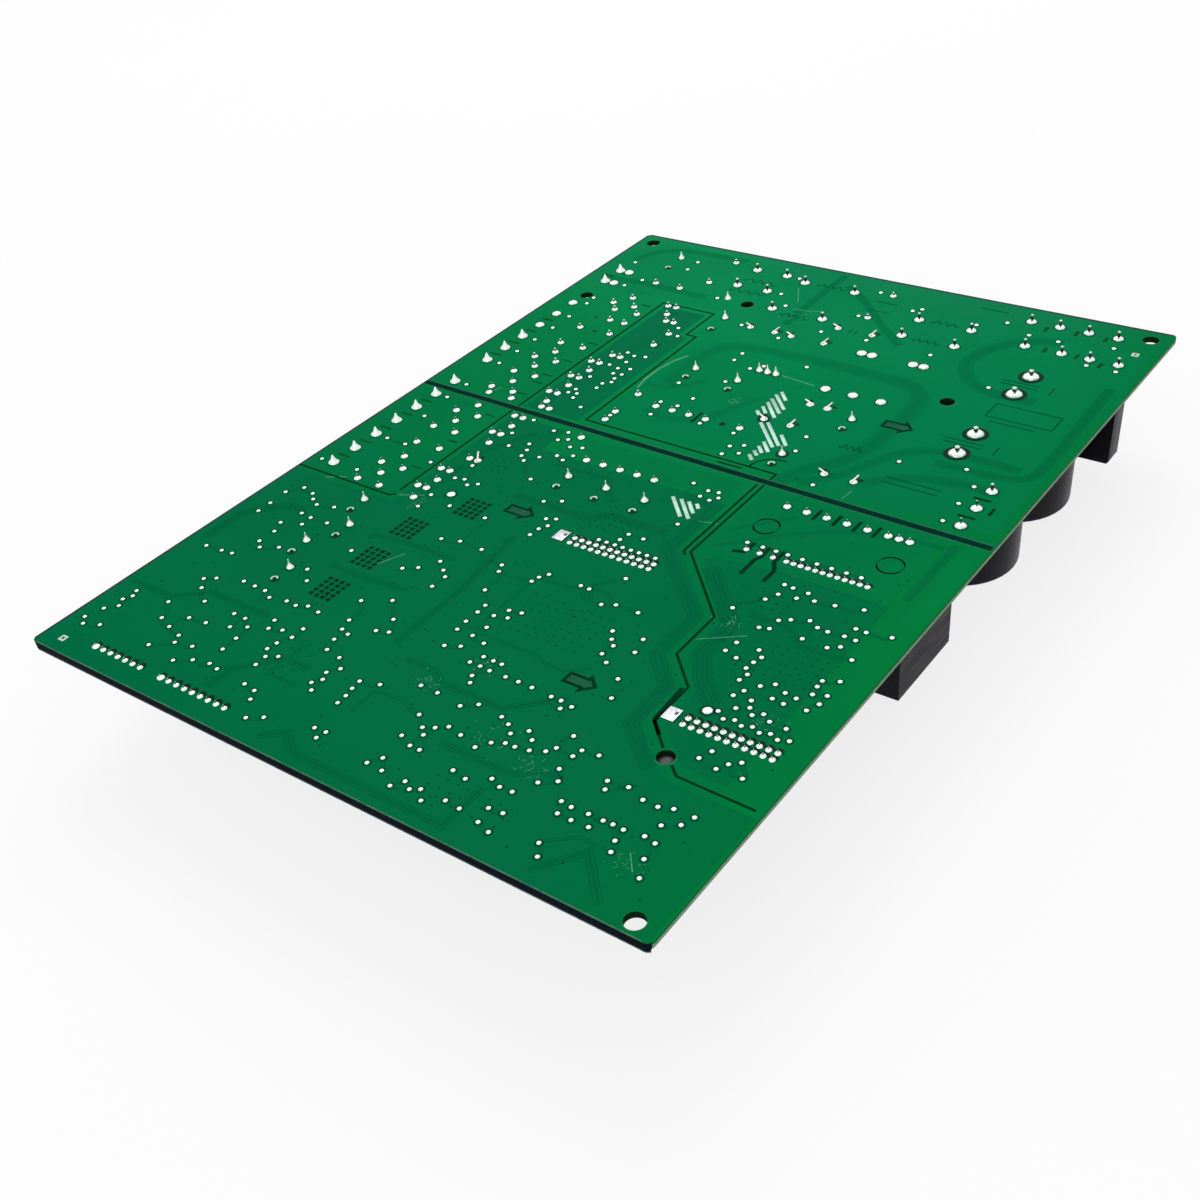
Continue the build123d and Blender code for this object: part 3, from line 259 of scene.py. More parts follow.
def rounded_box(low: np.ndarray | Triple, high: np.ndarray | Triple, radius: float,
                steps: int = 3) -> Surface:
    """Box with rounded upright and end edges: rings of a rounded rectangle that shrink at both ends.

    The rectangle's corner is a quarter circle, and the ring's inset and height near each end follow
    radius times (1 - cosine) and radius times (1 - sine) of the same angle.

    Args:
        low: Lowest corner.
        high: Highest corner.
        radius: Radius of every edge.
        steps: Points on each quarter circle.

    Returns:
        The closed surface.
    """
    low, high = np.array(low), np.array(high)
    bend = np.linspace(0, math.pi / 2, steps)
    corner = np.array(((1, 1), (-1, 1), (-1, -1), (1, -1)), float)
    turn = np.arange(4) * math.pi / 2
    angle = (turn[:, None] + bend[None, :]).ravel()
    sign = np.repeat(corner, steps, axis=0)
    half = (high - low)[:2] / 2
    centre = (high + low)[:2] / 2
    pull, rise = radius * (1 - np.sin(bend)), radius * (1 - np.cos(bend))
    inset = np.concatenate((pull, pull[::-1]))
    level = np.concatenate((low[2] + rise, high[2] - rise[::-1]))
    core = sign * (half - radius)
    round_part = np.stack((np.cos(angle), np.sin(angle)), axis=1)
    flat = centre + core[None] + (radius - inset)[:, None, None] * round_part[None]
    points = np.concatenate((flat, np.broadcast_to(level[:, None, None], (*flat.shape[:2], 1))), axis=2)
    return Surface(points.reshape(-1, 3), wrapped_faces(len(level), len(angle)))


def scatter(shape: Surface, places: np.ndarray, scale: np.ndarray | None = None,
            turn: np.ndarray | None = None) -> Surface:
    """Repeats a shape: each copy is the shape stretched by its scale, turned about Z and moved to its place.

    Args:
        shape: What is repeated.
        places: Rows of (x, y, z).
        scale: Rows of three stretches, or None.
        turn: Angle of each copy in radians, or None.

    Returns:
        All copies as one surface.
    """
    points = np.broadcast_to(shape.points, (len(places), *shape.points.shape)).copy()
    if scale is not None:
        points *= scale[:, None, :]
    if turn is not None:
        cos, sin = np.cos(turn)[:, None], np.sin(turn)[:, None]
        x, y = points[..., 0].copy(), points[..., 1].copy()
        points[..., 0], points[..., 1] = x * cos - y * sin, x * sin + y * cos
    points += places[:, None, :]
    count = len(shape.points)
    starts = range(0, len(places) * count, count)
    faces = [[number + start for number in face] for start in starts for face in shape.faces]
    return Surface(points.reshape(-1, 3), faces)


def gathered(parts: list[Surface]) -> Surface:
    """Joins several surfaces into one, each one's faces counted on from the points before it.

    Args:
        parts: The surfaces.

    Returns:
        All of them as one surface.
    """
    starts = np.cumsum([0] + [len(part.points) for part in parts[:-1]]).tolist()
    faces = [[number + start for number in face]
             for start, part in zip(starts, parts) for face in part.faces]
    return Surface(np.concatenate([part.points for part in parts]), faces)


def islands(node: str) -> list[np.ndarray]:
    """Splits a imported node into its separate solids.

    Points that share a face take the lowest label among them, again and again, until none changes.

    Args:
        node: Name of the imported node.

    Returns:
        The merged points of each solid.
    """
    mesh = frame["nodes"][node].data
    flat = np.zeros(len(mesh.vertices) * 3)
    mesh.vertices.foreach_get("co", flat)
    points, which = np.unique(np.round(flat.reshape(-1, 3), 6), axis=0, return_inverse=True)
    mesh.calc_loop_triangles()
    corners = np.zeros(len(mesh.loop_triangles) * 3, np.int32)
    mesh.loop_triangles.foreach_get("vertices", corners)
    triangles = which.ravel()[corners].reshape(-1, 3)
    label = np.arange(len(points))
    while True:
        lowest = label[triangles].min(1)
        renewed = label.copy()
        np.minimum.at(renewed, triangles.ravel(), np.repeat(lowest, 3))
        if np.array_equal(renewed, label):
            break
        label = renewed
    order = np.argsort(label, kind="stable")
    cuts = np.flatnonzero(np.diff(label[order])) + 1
    return [points[part] for part in np.split(order, cuts)]


def make_piece(name: str, surface: Surface, material: bpy.types.Material,
               smooth: bool = True, replaced: tuple[str, ...] = ()) -> bpy.types.Object:
    """Puts a surface into a mesh object that rides on the board.

    Args:
        name: Name of the piece.
        surface: Its points and faces.
        material: Its finish.
        smooth: Whether its faces shade smoothly.
        replaced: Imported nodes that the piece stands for.

    Returns:
        The new object.
    """
    mesh = bpy.data.meshes.new(name)
    mesh.from_pydata(surface.points.tolist(), [], surface.faces)
    mesh.polygons.foreach_set("use_smooth", np.full(len(mesh.polygons), smooth))
    mesh.materials.append(material)
    mesh.update()
    piece = bpy.data.objects.new(name, mesh)
    bpy.context.scene.collection.objects.link(piece)
    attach(piece, ROOT)
    if replaced:
        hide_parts(*replaced)
    log.info("%s: %d faces", name, len(surface.faces))
    return piece


# ---------------------------------------------------------------- finishes
class Grain(Enum):
    """How the fine structure of a finish runs, as stretches of the noise along X, Y and Z."""

    EVEN = (1.0, 1.0, 1.0)
    DRAWN_X = (0.04, 1.0, 1.0)
    DRAWN_Z = (1.0, 1.0, 0.04)
    FLAT = (1.0, 1.0, 4.0)


class Nodes:
    """Builder of one node tree."""

    def __init__(self, tree: bpy.types.NodeTree) -> None:
        """Keeps the tree."""
        self.tree = tree

    def add(self, kind: str, **settings: object) -> bpy.types.Node:
        """Adds a node with the given settings.

        Args:
            kind: The node's type.
            settings: Its settings by name.

        Returns:
            The node.
        """
        node = self.tree.nodes.new(kind)
        for key, value in settings.items():
            setattr(node, key, value)
        return node

    def link(self, source: bpy.types.NodeSocket, target: bpy.types.NodeSocket) -> None:
        """Joins two sockets."""
        self.tree.links.new(source, target)

    def maths(self, operation: str, first: bpy.types.NodeSocket, second: bpy.types.NodeSocket | float,
              **settings: object) -> bpy.types.NodeSocket:
        """Sum, product or the like of two values.

        Args:
            operation: What is done with them.
            first: First value.
            second: Second value.
            settings: The node's other settings by name.

        Returns:
            The result.
        """
        node = self.add("ShaderNodeMath", operation=operation, **settings)
        self.link(first, node.inputs[0])
        if isinstance(second, float):
            node.inputs[1].default_value = second
        else:
            self.link(second, node.inputs[1])
        return node.outputs[0]

    def blended(self, share: bpy.types.NodeSocket, first: bpy.types.NodeSocket,
                second: bpy.types.NodeSocket) -> bpy.types.NodeSocket:
        """Two shaders mixed by a share.

        Args:
            share: How much of the second shader shows.
            first: First shader.
            second: Second shader.

        Returns:
            The mixed shader.
        """
        node = self.add("ShaderNodeMixShader")
        for source, target in zip((share, first, second), node.inputs):
            self.link(source, target)
        return node.outputs[0]


class MaterialNodes(Nodes):
    """Builder of one material's nodes round a Principled shader."""

    def __init__(self, name: str) -> None:
        """Starts a material with its shader and output.

        Args:
            name: The material's name.
        """
        self.material = bpy.data.materials.new(name)
        self.material.use_nodes = True
        super().__init__(self.material.node_tree)
        self.tree.nodes.clear()
        self.shader = self.add("ShaderNodeBsdfPrincipled")
        output = self.add("ShaderNodeOutputMaterial")
        self.link(self.shader.outputs["BSDF"], output.inputs["Surface"])
        self.place = self.add("ShaderNodeTexCoord").outputs["Object"]

    def stretched(self, scale: Triple) -> bpy.types.NodeSocket:
        """Object coordinates stretched along each axis.

        Args:
            scale: Factor along each axis.

        Returns:
            The stretched coordinates.
        """
        mapping = self.add("ShaderNodeMapping")
        mapping.inputs["Scale"].default_value = scale
        self.link(self.place, mapping.inputs["Vector"])
        return mapping.outputs["Vector"]

    def noise(self, scale: float, detail: float = 3.0, along: Grain = Grain.EVEN) -> bpy.types.NodeSocket:
        """Noise of so many repeats per metre, drawn out along a grain.

        Args:
            scale: Repeats per metre.
            detail: Layers of finer noise.
            along: The grain.

        Returns:
            The noise.
        """
        node = self.add("ShaderNodeTexNoise")
        node.inputs["Scale"].default_value = scale
        node.inputs["Detail"].default_value = detail
        self.link(self.stretched(along.value), node.inputs["Vector"])
        return node.outputs["Fac"]

    def spread(self, source: bpy.types.NodeSocket, start: float, end: float, low: float,
               high: float) -> bpy.types.NodeSocket:
        """Carries the range from start to end smoothly over to the range from low to high.

        Args:
            source: The value.
            start: Start of its range.
            end: End of its range.
            low: Result at the start.
            high: Result at the end.

        Returns:
            The new value.
        """
        node = self.add("ShaderNodeMapRange", interpolation_type="SMOOTHSTEP")
        for key, value in (("From Min", start), ("From Max", end), ("To Min", low), ("To Max", high)):
            node.inputs[key].default_value = value
        self.link(source, node.inputs["Value"])
        return node.outputs["Result"]

    def ramp(self, source: bpy.types.NodeSocket, stops: Stops) -> bpy.types.NodeSocket:
        """Colour picked between stops.

        Args:
            source: The value that picks.
            stops: Place and colour of each stop.

        Returns:
            The colour.
        """
        node = self.add("ShaderNodeValToRGB")
        elements = node.color_ramp.elements
        for _ in stops[2:]:
            elements.new(0.5)
        for element, (position, colour) in zip(elements, stops):
            element.position, element.color = position, linear(colour)
        self.link(source, node.inputs["Fac"])
        return node.outputs["Color"]

    def mixed(self, share: bpy.types.NodeSocket, first: bpy.types.NodeSocket,
              second: bpy.types.NodeSocket) -> bpy.types.NodeSocket:
        """Two colours mixed by a share.

        Args:
            share: How much of the second colour shows.
            first: First colour.
            second: Second colour.

        Returns:
            The mixed colour.
        """
        node = self.add("ShaderNodeMix", data_type="RGBA")
        self.link(share, node.inputs["Factor"])
        self.link(first, node.inputs[6])
        self.link(second, node.inputs[7])
        return node.outputs[2]

    def fixed(self, colour: Colour) -> bpy.types.NodeSocket:
        """One colour for mixing.

        Args:
            colour: The colour.

        Returns:
            A socket that gives it.
        """
        node = self.add("ShaderNodeRGB")
        node.outputs[0].default_value = linear(colour)
        return node.outputs[0]

    def bump(self, height: bpy.types.NodeSocket, depth: float) -> None:
        """Lets a height of zero to one move the surface by a depth.

        Args:
            height: The height.
            depth: Depth in metres at a height of one.
        """
        node = self.add("ShaderNodeBump")
        node.inputs["Distance"].default_value = depth
        self.link(height, node.inputs["Height"])
        self.link(node.outputs["Normal"], self.shader.inputs["Normal"])


@dataclass(frozen=True)
class Finish:
    """Finish whose colour drifts between two tones and whose gloss and surface follow finer noise."""

    name: str
    dark: Colour
    light: Colour
    roughness: tuple[float, float] = (0.4, 0.55)
    metallic: float = 0.0
    drift: float = 60.0
    grain: float = 1500.0
    depth: float = 0.00002
    along: Grain = Grain.EVEN
    coat: float = 0.0
    coat_roughness: float = 0.15
    specular: float = 0.5

    def build(self) -> bpy.types.Material:
        """Makes the material.

        Returns:
            The finished material.
        """
        nodes = MaterialNodes(self.name)
        shader = nodes.shader
        shader.inputs["Metallic"].default_value = self.metallic
        shader.inputs["Coat Weight"].default_value = self.coat
        shader.inputs["Coat Roughness"].default_value = self.coat_roughness
        shader.inputs["Specular IOR Level"].default_value = self.specular
        drift = nodes.noise(self.drift, 4.0)
        grain = nodes.noise(self.grain, 2.0, self.along)
        tone = nodes.maths("MULTIPLY", nodes.maths("ADD", drift, grain), 0.5)
        nodes.link(nodes.ramp(tone, ((0.35, self.dark), (0.65, self.light))), shader.inputs["Base Color"])
        nodes.link(nodes.spread(grain, 0.3, 0.7, *self.roughness), shader.inputs["Roughness"])
        nodes.bump(grain, self.depth)
        return nodes.material


@dataclass(frozen=True)
class MaskFinish:
    """Green solder mask over laminate or copper, with the laminate's cut edges.

    The tone follows the place on the board: a ramp along X, which is painted light that makes the board
    brighter towards +X, a brighter strip beside the near edge, slow noise for drift and fine noise for the
    mask's orange peel.
    """

    name: str
    stops: Stops
    near: Colour
    shade: Colour
    edged: bool = False
    peel: float = 0.00003
    pale_edge: tuple[Colour, Colour] = ((96, 128, 104), (150, 174, 150))
    green_edge: tuple[Colour, Colour] = ((0, 104, 50), (10, 124, 60))
    # Painted shade for the board's left, right and far sides.
    edge_shade: tuple[Colour, Colour] = ((12, 18, 26), (34, 44, 52))
    hole_wall: tuple[Colour, Colour] = ((8, 38, 20), (20, 54, 30))
    edge_depth: float = 0.0009
    near_reach: float = 0.028
    specular: float = 0.002

    def edges(self, nodes: MaterialNodes, tone: bpy.types.NodeSocket,
              axes: bpy.types.Node) -> bpy.types.NodeSocket:
        """Lays the cut laminate's tones over the near side of the board and the walls of its holes, and a
        dark colour as painted shade over its left, right and far sides.

        Args:
            nodes: The material's nodes.
            tone: Colour of the faces.
            axes: Node that gives the place along each axis.

        Returns:
            Colour of faces, sides and holes.
        """
        low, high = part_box("circuit_board")
        x, y, z = axes.outputs
        lean = nodes.add("ShaderNodeSeparateXYZ")
        nodes.link(nodes.add("ShaderNodeNewGeometry").outputs["Normal"], lean.inputs[0])
        upright = nodes.maths("LESS_THAN", nodes.maths("ABSOLUTE", lean.outputs[2], 0.0), 0.5)
        near = nodes.maths("LESS_THAN", y, low.y + self.edge_depth)
        left = nodes.maths("LESS_THAN", x, low.x + self.edge_depth)
        right = nodes.maths("GREATER_THAN", x, high.x - self.edge_depth)
        far = nodes.maths("GREATER_THAN", y, high.y - self.edge_depth)
        fibre = nodes.noise(1600.0, 4.0, Grain.FLAT)
        pale = nodes.ramp(fibre, ((0.3, self.pale_edge[0]), (0.7, self.pale_edge[1])))
        masked = nodes.ramp(fibre, ((0.3, self.green_edge[0]), (0.7, self.green_edge[1])))
        pale = nodes.mixed(nodes.maths("GREATER_THAN", z, 0.45 * low.z + 0.55 * high.z), pale, masked)
        # Painted shade: the left, right and far sides of the board get a dark colour.
        dark = nodes.ramp(fibre, ((0.45, self.edge_shade[0]), (0.8, self.edge_shade[1])))
        hole = nodes.ramp(fibre, ((0.3, self.hole_wall[0]), (0.7, self.hole_wall[1])))
        tone = nodes.mixed(upright, tone, hole)
        tone = nodes.mixed(nodes.maths("MULTIPLY", upright, near), tone, pale)
        rest = nodes.maths("MAXIMUM", left, nodes.maths("MAXIMUM", right, far))
        return nodes.mixed(nodes.maths("MULTIPLY", upright, rest), tone, dark)

    def build(self) -> bpy.types.Material:
        """Makes the material.

        Returns:
            The finished material.
        """
        nodes = MaterialNodes(self.name)
        shader = nodes.shader
        low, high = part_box("circuit_board")
        axes = nodes.add("ShaderNodeSeparateXYZ")
        nodes.link(nodes.place, axes.inputs[0])
        drift = nodes.spread(nodes.noise(24.0, 4.0), 0.3, 0.7, -0.06, 0.06)
        along = nodes.maths("ADD", nodes.spread(axes.outputs[0], low.x, high.x, 0.0, 1.0), drift)
        # Painted light: the ramp along X brightens the board towards +X.
        tone = nodes.ramp(along, self.stops)
        near = nodes.spread(axes.outputs[1], low.y, low.y + self.near_reach, 0.85, 0.0)
        tone = nodes.mixed(near, tone, nodes.fixed(self.near))
        cloud = nodes.spread(nodes.noise(11.0, 5.0), 0.38, 0.66, 0.0, 0.5)
        tone = nodes.mixed(cloud, tone, nodes.fixed(self.shade))
        speck = nodes.spread(nodes.noise(1900.0, 2.0), 0.3, 0.7, 0.0, 0.16)
        tone = nodes.mixed(speck, tone, nodes.fixed(self.shade))
        if self.edged:
            tone = self.edges(nodes, tone, axes)
        nodes.link(tone, shader.inputs["Base Color"])
        nodes.link(nodes.spread(nodes.noise(36.0, 4.0), 0.3, 0.7, 0.24, 0.4), shader.inputs["Roughness"])
        nodes.bump(nodes.noise(300.0, 3.0), self.peel)
        shader.inputs["Specular IOR Level"].default_value = self.specular
        return nodes.material


@dataclass(frozen=True)
class ShadedSolderFinish:
    """Bright tin whose tone follows the way from its foot on the mask, 0, to its top, 1, and whose stops
    paint shade: darker at the foot and, for the mounds, at the top where the lead stands.
    """

    name: str
    stops: Stops
    uneven: float = 0.25

    def build(self) -> bpy.types.Material:
        """Makes the material, which reads the piece's own "tone" attribute.

        Returns:
            The finished material.
        """
        nodes = MaterialNodes(self.name)
        shader = nodes.shader
        shader.inputs["Metallic"].default_value = 1.0
        way = nodes.add("ShaderNodeAttribute", attribute_name=TONE).outputs["Fac"]
        mottle = nodes.noise(1100.0, 3.0)
        wander = nodes.spread(mottle, 0.25, 0.75, -self.uneven, self.uneven)
        # Painted shade: the stops darken the foot, and for the mounds the top by the lead.
        tone = nodes.ramp(nodes.maths("ADD", way, wander), self.stops)
        nodes.link(tone, shader.inputs["Base Color"])
        nodes.link(nodes.spread(mottle, 0.3, 0.7, 0.2, 0.36), shader.inputs["Roughness"])
        nodes.bump(nodes.noise(2200.0, 2.0), 0.00002)
        return nodes.material


@dataclass(frozen=True)
class WoundFinish:
    """Enamelled wire whose turns show as fine ridges across one axis."""

    name: str
    axis: str
    dark: Colour = (112, 48, 20)
    light: Colour = (196, 104, 52)
    bands: float = 500.0

    def build(self) -> bpy.types.Material:
        """Makes the material.

        Returns:
            The finished material.
        """
        nodes = MaterialNodes(self.name)
        shader = nodes.shader
        shader.inputs["Metallic"].default_value = 0.8
        wave = nodes.add("ShaderNodeTexWave", bands_direction=self.axis)
        wave.inputs["Scale"].default_value = self.bands
        wave.inputs["Distortion"].default_value = 0.6
        nodes.link(nodes.place, wave.inputs["Vector"])
        tone = nodes.ramp(wave.outputs["Fac"], ((0.1, self.dark), (0.7, self.light)))
        nodes.link(tone, shader.inputs["Base Color"])
        nodes.link(nodes.spread(nodes.noise(400.0), 0.3, 0.7, 0.2, 0.36), shader.inputs["Roughness"])
        nodes.bump(wave.outputs["Fac"], 0.00012)
        return nodes.material


class Finishes:
    """Every finish on the board."""

    # Painted light: the stops of every mask finish grow brighter along X, towards +X.
    laminate = MaskFinish(
        "solder_mask", ((0.0, (0, 114, 66)), (0.30, (0, 114, 62)), (0.46, (0, 123, 62)), (0.56, (0, 128, 68)),
                        (0.75, (0, 131, 70)), (0.92, (4, 140, 80)), (1.0, (20, 140, 90))),
        (0, 126, 56), (0, 110, 64), True)
    ground = MaskFinish(
        "mask_over_ground",
        ((0.0, (2, 109, 68)), (0.25, (0, 109, 66)), (0.45, (0, 110, 66)), (1.0, (2, 113, 74))),
        (0, 114, 57), (0, 102, 64))
    power = MaskFinish(
        "mask_over_power",
        ((0.5, (0, 122, 69)), (0.65, (0, 123, 72)), (0.85, (0, 130, 76)), (1.0, (8, 138, 83))),
        (0, 126, 66), (0, 115, 71))
    bright = MaskFinish(
        "mask_on_bare_board", ((0.35, (0, 116, 66)), (0.5, (0, 119, 66)), (1.0, (0, 128, 73))),
        (0, 128, 60), (0, 110, 66))
    gap = MaskFinish(
        "mask_in_gaps", ((0.0, (0, 104, 62)), (0.5, (0, 111, 66)), (1.0, (0, 122, 73))),
        (0, 110, 58), (0, 103, 62))
    gap_side = MaskFinish(
        "mask_beside_gaps", ((0.0, (0, 106, 63)), (0.5, (0, 114, 67)), (1.0, (0, 125, 74))),
        (0, 113, 59), (0, 105, 63))
    gap_rim = MaskFinish(
        "mask_at_gap_rims", ((0.0, (0, 108, 64)), (0.5, (0, 117, 68)), (1.0, (0, 129, 75))),
        (0, 116, 60), (0, 107, 64))
    bed = MaskFinish(
        "mask_beside_traces", ((0.0, (0, 97, 59)), (0.5, (0, 98, 60)), (1.0, (0, 108, 68))),
        (0, 102, 52), (0, 91, 57))
    trace = MaskFinish(
        "mask_over_traces", ((0.0, (0, 109, 67)), (0.5, (0, 111, 67)), (1.0, (4, 124, 76))),
        (0, 116, 62), (0, 101, 63), peel=0.00001)
    # Painted shade: a dark foot and a darker top where the mound meets the lead.
    solder = ShadedSolderFinish(
        "solder_silver", ((0.0, (40, 84, 62)), (0.14, (112, 148, 130)), (0.3, (206, 226, 216)),
                          (0.46, (238, 247, 242)), (0.86, (238, 247, 242)), (1.0, (150, 170, 160))), 0.07)
    # Painted shade: a dark foot.
    flared_tin = ShadedSolderFinish(
        "flared_silver", ((0.0, (60, 96, 78)), (0.12, (168, 196, 182)), (0.3, (226, 240, 232)),
                          (1.0, (224, 238, 230))), 0.06)
    # Painted shade: a dark foot.
    land = ShadedSolderFinish(
        "land_silver", ((0.0, (24, 84, 56)), (0.2, (92, 140, 116)), (0.42, (206, 232, 218)),
                        (0.62, (234, 249, 241)), (1.0, (240, 252, 246))), 0.06)
    tinned = Finish("tinned_leads", (186, 188, 186), (224, 225, 222), (0.18, 0.3), 1.0, 200.0, 2500.0,
                    0.000005)
    ink = Finish("dark_print", (3, 44, 26), (7, 60, 36), (0.45, 0.6), drift=300.0, grain=3000.0,
                 specular=0.002)
    olive = Finish("pin_bars", (8, 76, 34), (14, 88, 42), (0.45, 0.6), drift=300.0, specular=0.002)
    faint = Finish("faint_print", (0, 66, 42), (2, 78, 50), (0.45, 0.6), drift=300.0, grain=3000.0,
                   specular=0.002)
    # Partly real mask clearance, partly painted shade: the dark outline round joints and lands.
    resist = Finish("mask_clearance_and_painted_shade", (2, 66, 42), (6, 82, 52), (0.4, 0.55), drift=500.0, specular=0.002)
    # Painted shade: dark discs round and beside joints, in hollows, at bent lead ends and in empty holes.
    shade_disc = Finish("painted_shade_disc_finish", (0, 34, 24), (4, 56, 38), (0.35, 0.5), drift=500.0, specular=0.02)
    stripe = Finish("tinned_stripes", (122, 164, 148), (172, 202, 190), (0.3, 0.45), 0.35, 300.0, 2500.0)
    dull_tin = Finish("dull_tin", (118, 176, 148), (170, 212, 190), (0.4, 0.6), 0.4, 700.0)
    square = Finish("square_land_tin", (176, 180, 186), (222, 225, 229), (0.25, 0.4), 1.0, 260.0, 1500.0,
                    0.000005)
    shank = Finish("cut_leads", (24, 28, 27), (62, 68, 66), (0.28, 0.45), 0.9, 900.0)
    tip = Finish("lead_ends", (150, 196, 172), (206, 230, 216), (0.3, 0.5), 0.8, 900.0)
    # Painted shade: dark lines along the board's far and right edges.
    rim = Finish("rim_shade_finish", (30, 42, 46), (54, 66, 68), (0.5, 0.65), drift=300.0, specular=0.05)
    # Painted shade: the dark strip under the connector edge stands for the shaded cut edge.
    shaded_edge_strip = Finish("shaded_edge_strip", (12, 18, 26), (28, 38, 46), (0.4, 0.6), drift=60.0, grain=1500.0,
                        specular=0.01)
    edge_foot = Finish("edge_strip_foot", (70, 96, 86), (150, 166, 158), (0.5, 0.7), drift=700.0,
                       grain=1500.0,
                       specular=0.05)
    edge_line = Finish("edge_line", (40, 104, 72), (84, 132, 104), (0.45, 0.6), drift=300.0, specular=0.002)
    arrow_fill = Finish("grey_print", (24, 88, 64), (34, 100, 74), (0.45, 0.6), drift=400.0, specular=0.002)
    band = Finish("isolation_band", (0, 42, 32), (0, 54, 42), (0.35, 0.5), drift=30.0, grain=1200.0,
                  specular=0.002)
    band_edge = Finish("band_border", (22, 98, 68), (60, 122, 96), (0.45, 0.6), drift=90.0, specular=0.002)
    chalk = Finish("white_print", (178, 196, 184), (214, 224, 216), (0.5, 0.65), drift=300.0, grain=3000.0)
    scratch = Finish("scratched_mask", (40, 132, 96), (96, 168, 132), (0.5, 0.7), drift=400.0, specular=0.2)
    sleeve = Finish("can_sleeve", (15, 12, 19), (26, 22, 33), (0.3, 0.44), drift=40.0, specular=0.12)
    can_metal = Finish("can_aluminium", (168, 170, 172), (202, 204, 206), (0.3, 0.45), 1.0, 120.0, 1500.0)
    rubber = Finish("can_seal", (22, 22, 22), (36, 36, 35), (0.6, 0.8), drift=200.0)
    anodised = Finish("dark_anodised", (8, 7, 12), (19, 18, 28), (0.42, 0.58), 0.3, 40.0, 1800.0, 0.00001,
                      Grain.DRAWN_X, specular=0.15)
    ferrite = Finish("ferrite", (38, 38, 40), (66, 66, 68), (0.55, 0.75), drift=200.0, grain=1800.0,
                     depth=0.00004)
    bobbin = Finish("bobbin_moulding", (18, 18, 19), (32, 32, 33), (0.45, 0.6), drift=90.0)
    tape = Finish("winding_tape", (196, 156, 32), (222, 184, 58), (0.25, 0.4), drift=90.0, coat=0.3,
                  along=Grain.DRAWN_Z)
    relay = Finish("relay_moulding", (16, 52, 112), (26, 66, 132), (0.3, 0.45), drift=60.0)
    black = Finish("black_moulding", (17, 17, 19), (30, 30, 32), (0.42, 0.6), drift=120.0, depth=0.00003)
    film = Finish("film_moulding", (196, 190, 160), (214, 208, 180), (0.35, 0.5), drift=80.0)
    disc = Finish("disc_coating", (24, 92, 172), (40, 112, 196), (0.22, 0.36), drift=120.0, coat=0.4)
    thermistor = Finish("thermistor_coating", (14, 48, 34), (24, 64, 46), (0.25, 0.4), drift=120.0, coat=0.3)
    clip = Finish("clip_metal", (180, 176, 160), (214, 210, 196), (0.22, 0.36), 1.0, 160.0)
    housing = Finish("header_moulding", (216, 212, 196), (234, 231, 218), (0.34, 0.48), drift=60.0)
    box = Finish("socket_moulding", (24, 24, 26), (38, 38, 40), (0.4, 0.55), drift=90.0)
    resistor = Finish("resistor_coating", (120, 150, 168), (142, 170, 186), (0.35, 0.5), drift=200.0)
    glass = Finish("fuse_tube", (206, 210, 204), (226, 230, 224), (0.08, 0.16), drift=120.0, coat=0.6)
    passive = Finish("passive_body", (120, 92, 62), (146, 116, 82), (0.4, 0.55), drift=500.0)
    screw = Finish("zinc_screw", (168, 172, 178), (206, 209, 214), (0.2, 0.34), 1.0, 300.0)


def dress(material: bpy.types.Material, name: str) -> None:
    """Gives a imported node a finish.

    Args:
        material: The finish.
        name: The node.
    """
    node = frame["nodes"][name]
    node.data.materials.clear()
    node.data.materials.append(material)


def lay(name: str, parts: list[Surface], finish: Finish | MaskFinish) -> None:
    """Joins parts into one piece with sharp edges.

    Args:
        name: Name of the piece.
        parts: Its surfaces.
        finish: Its finish, built for it alone.
    """
    make_piece(name, gathered(parts), finish.build(), False)


# ---------------------------------------------------------------- the board
@dataclass(frozen=True)
class PlacementGrid:
    """The board's placement grid: columns and rows of a millimetre from the corner at -X and -Y."""

    columns: float = 240.0
    rows: float = 168.0
    holes: Spots = (
        (234.8, 5.2), (234.8, 162.8), (3.2, 5.2), (195.3, 159.5), (209.6, 112.4), (183.2, 37.2), (39.2, 23.7),
    )
    hole_radius: float = 2.3
    slit: float = 0.03

    @property
    def top(self) -> float:
        """Height of the board's solder side."""
        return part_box("circuit_board")[1].z

    @property
    def under(self) -> float:
        """Height of the board's component side."""
        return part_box("circuit_board")[0].z

    def at(self, spots: np.ndarray | Spots) -> np.ndarray:
        """Turns (column, row) pairs into rows of (x, y).

        Args:
            spots: The pairs.

        Returns:
            One row for each.
        """
        low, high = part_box("circuit_board")
        share = np.array(spots, float).reshape(-1, 2) / (self.columns, self.rows)
        return np.array(low)[:2] + share * (np.array(high) - np.array(low))[:2]

    def spots(self, places: np.ndarray) -> np.ndarray:
        """Turns rows of (x, y) into (column, row) pairs.

        Args:
            places: The rows.

        Returns:
            One pair for each.
        """
        low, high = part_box("circuit_board")
        share = (places - np.array(low)[:2]) / (np.array(high) - np.array(low))[:2]
        return share * (self.columns, self.rows)

    def on_top(self, spots: np.ndarray | Spots) -> np.ndarray:
        """Turns (column, row) pairs into places on the solder side."""
        flat = self.at(spots)
        return np.column_stack((flat, np.full(len(flat), self.top)))


grid = PlacementGrid()


def pour(outline: Spots, lift: float) -> Surface:
    """Thin plate on the solder side with the board's holes left open.

    Args:
        outline: Columns and rows, turning left.
        lift: Its thickness in millimetres.

    Returns:
        The closed surface.
    """
    rim = grid.at(outline)
    for spot in grid.at(grid.holes):
        if holds(rim, spot):
            rim = notched(rim, spot, grid.hole_radius * MM, grid.slit * MM)
    return plate(rim, grid.top, lift * MM)


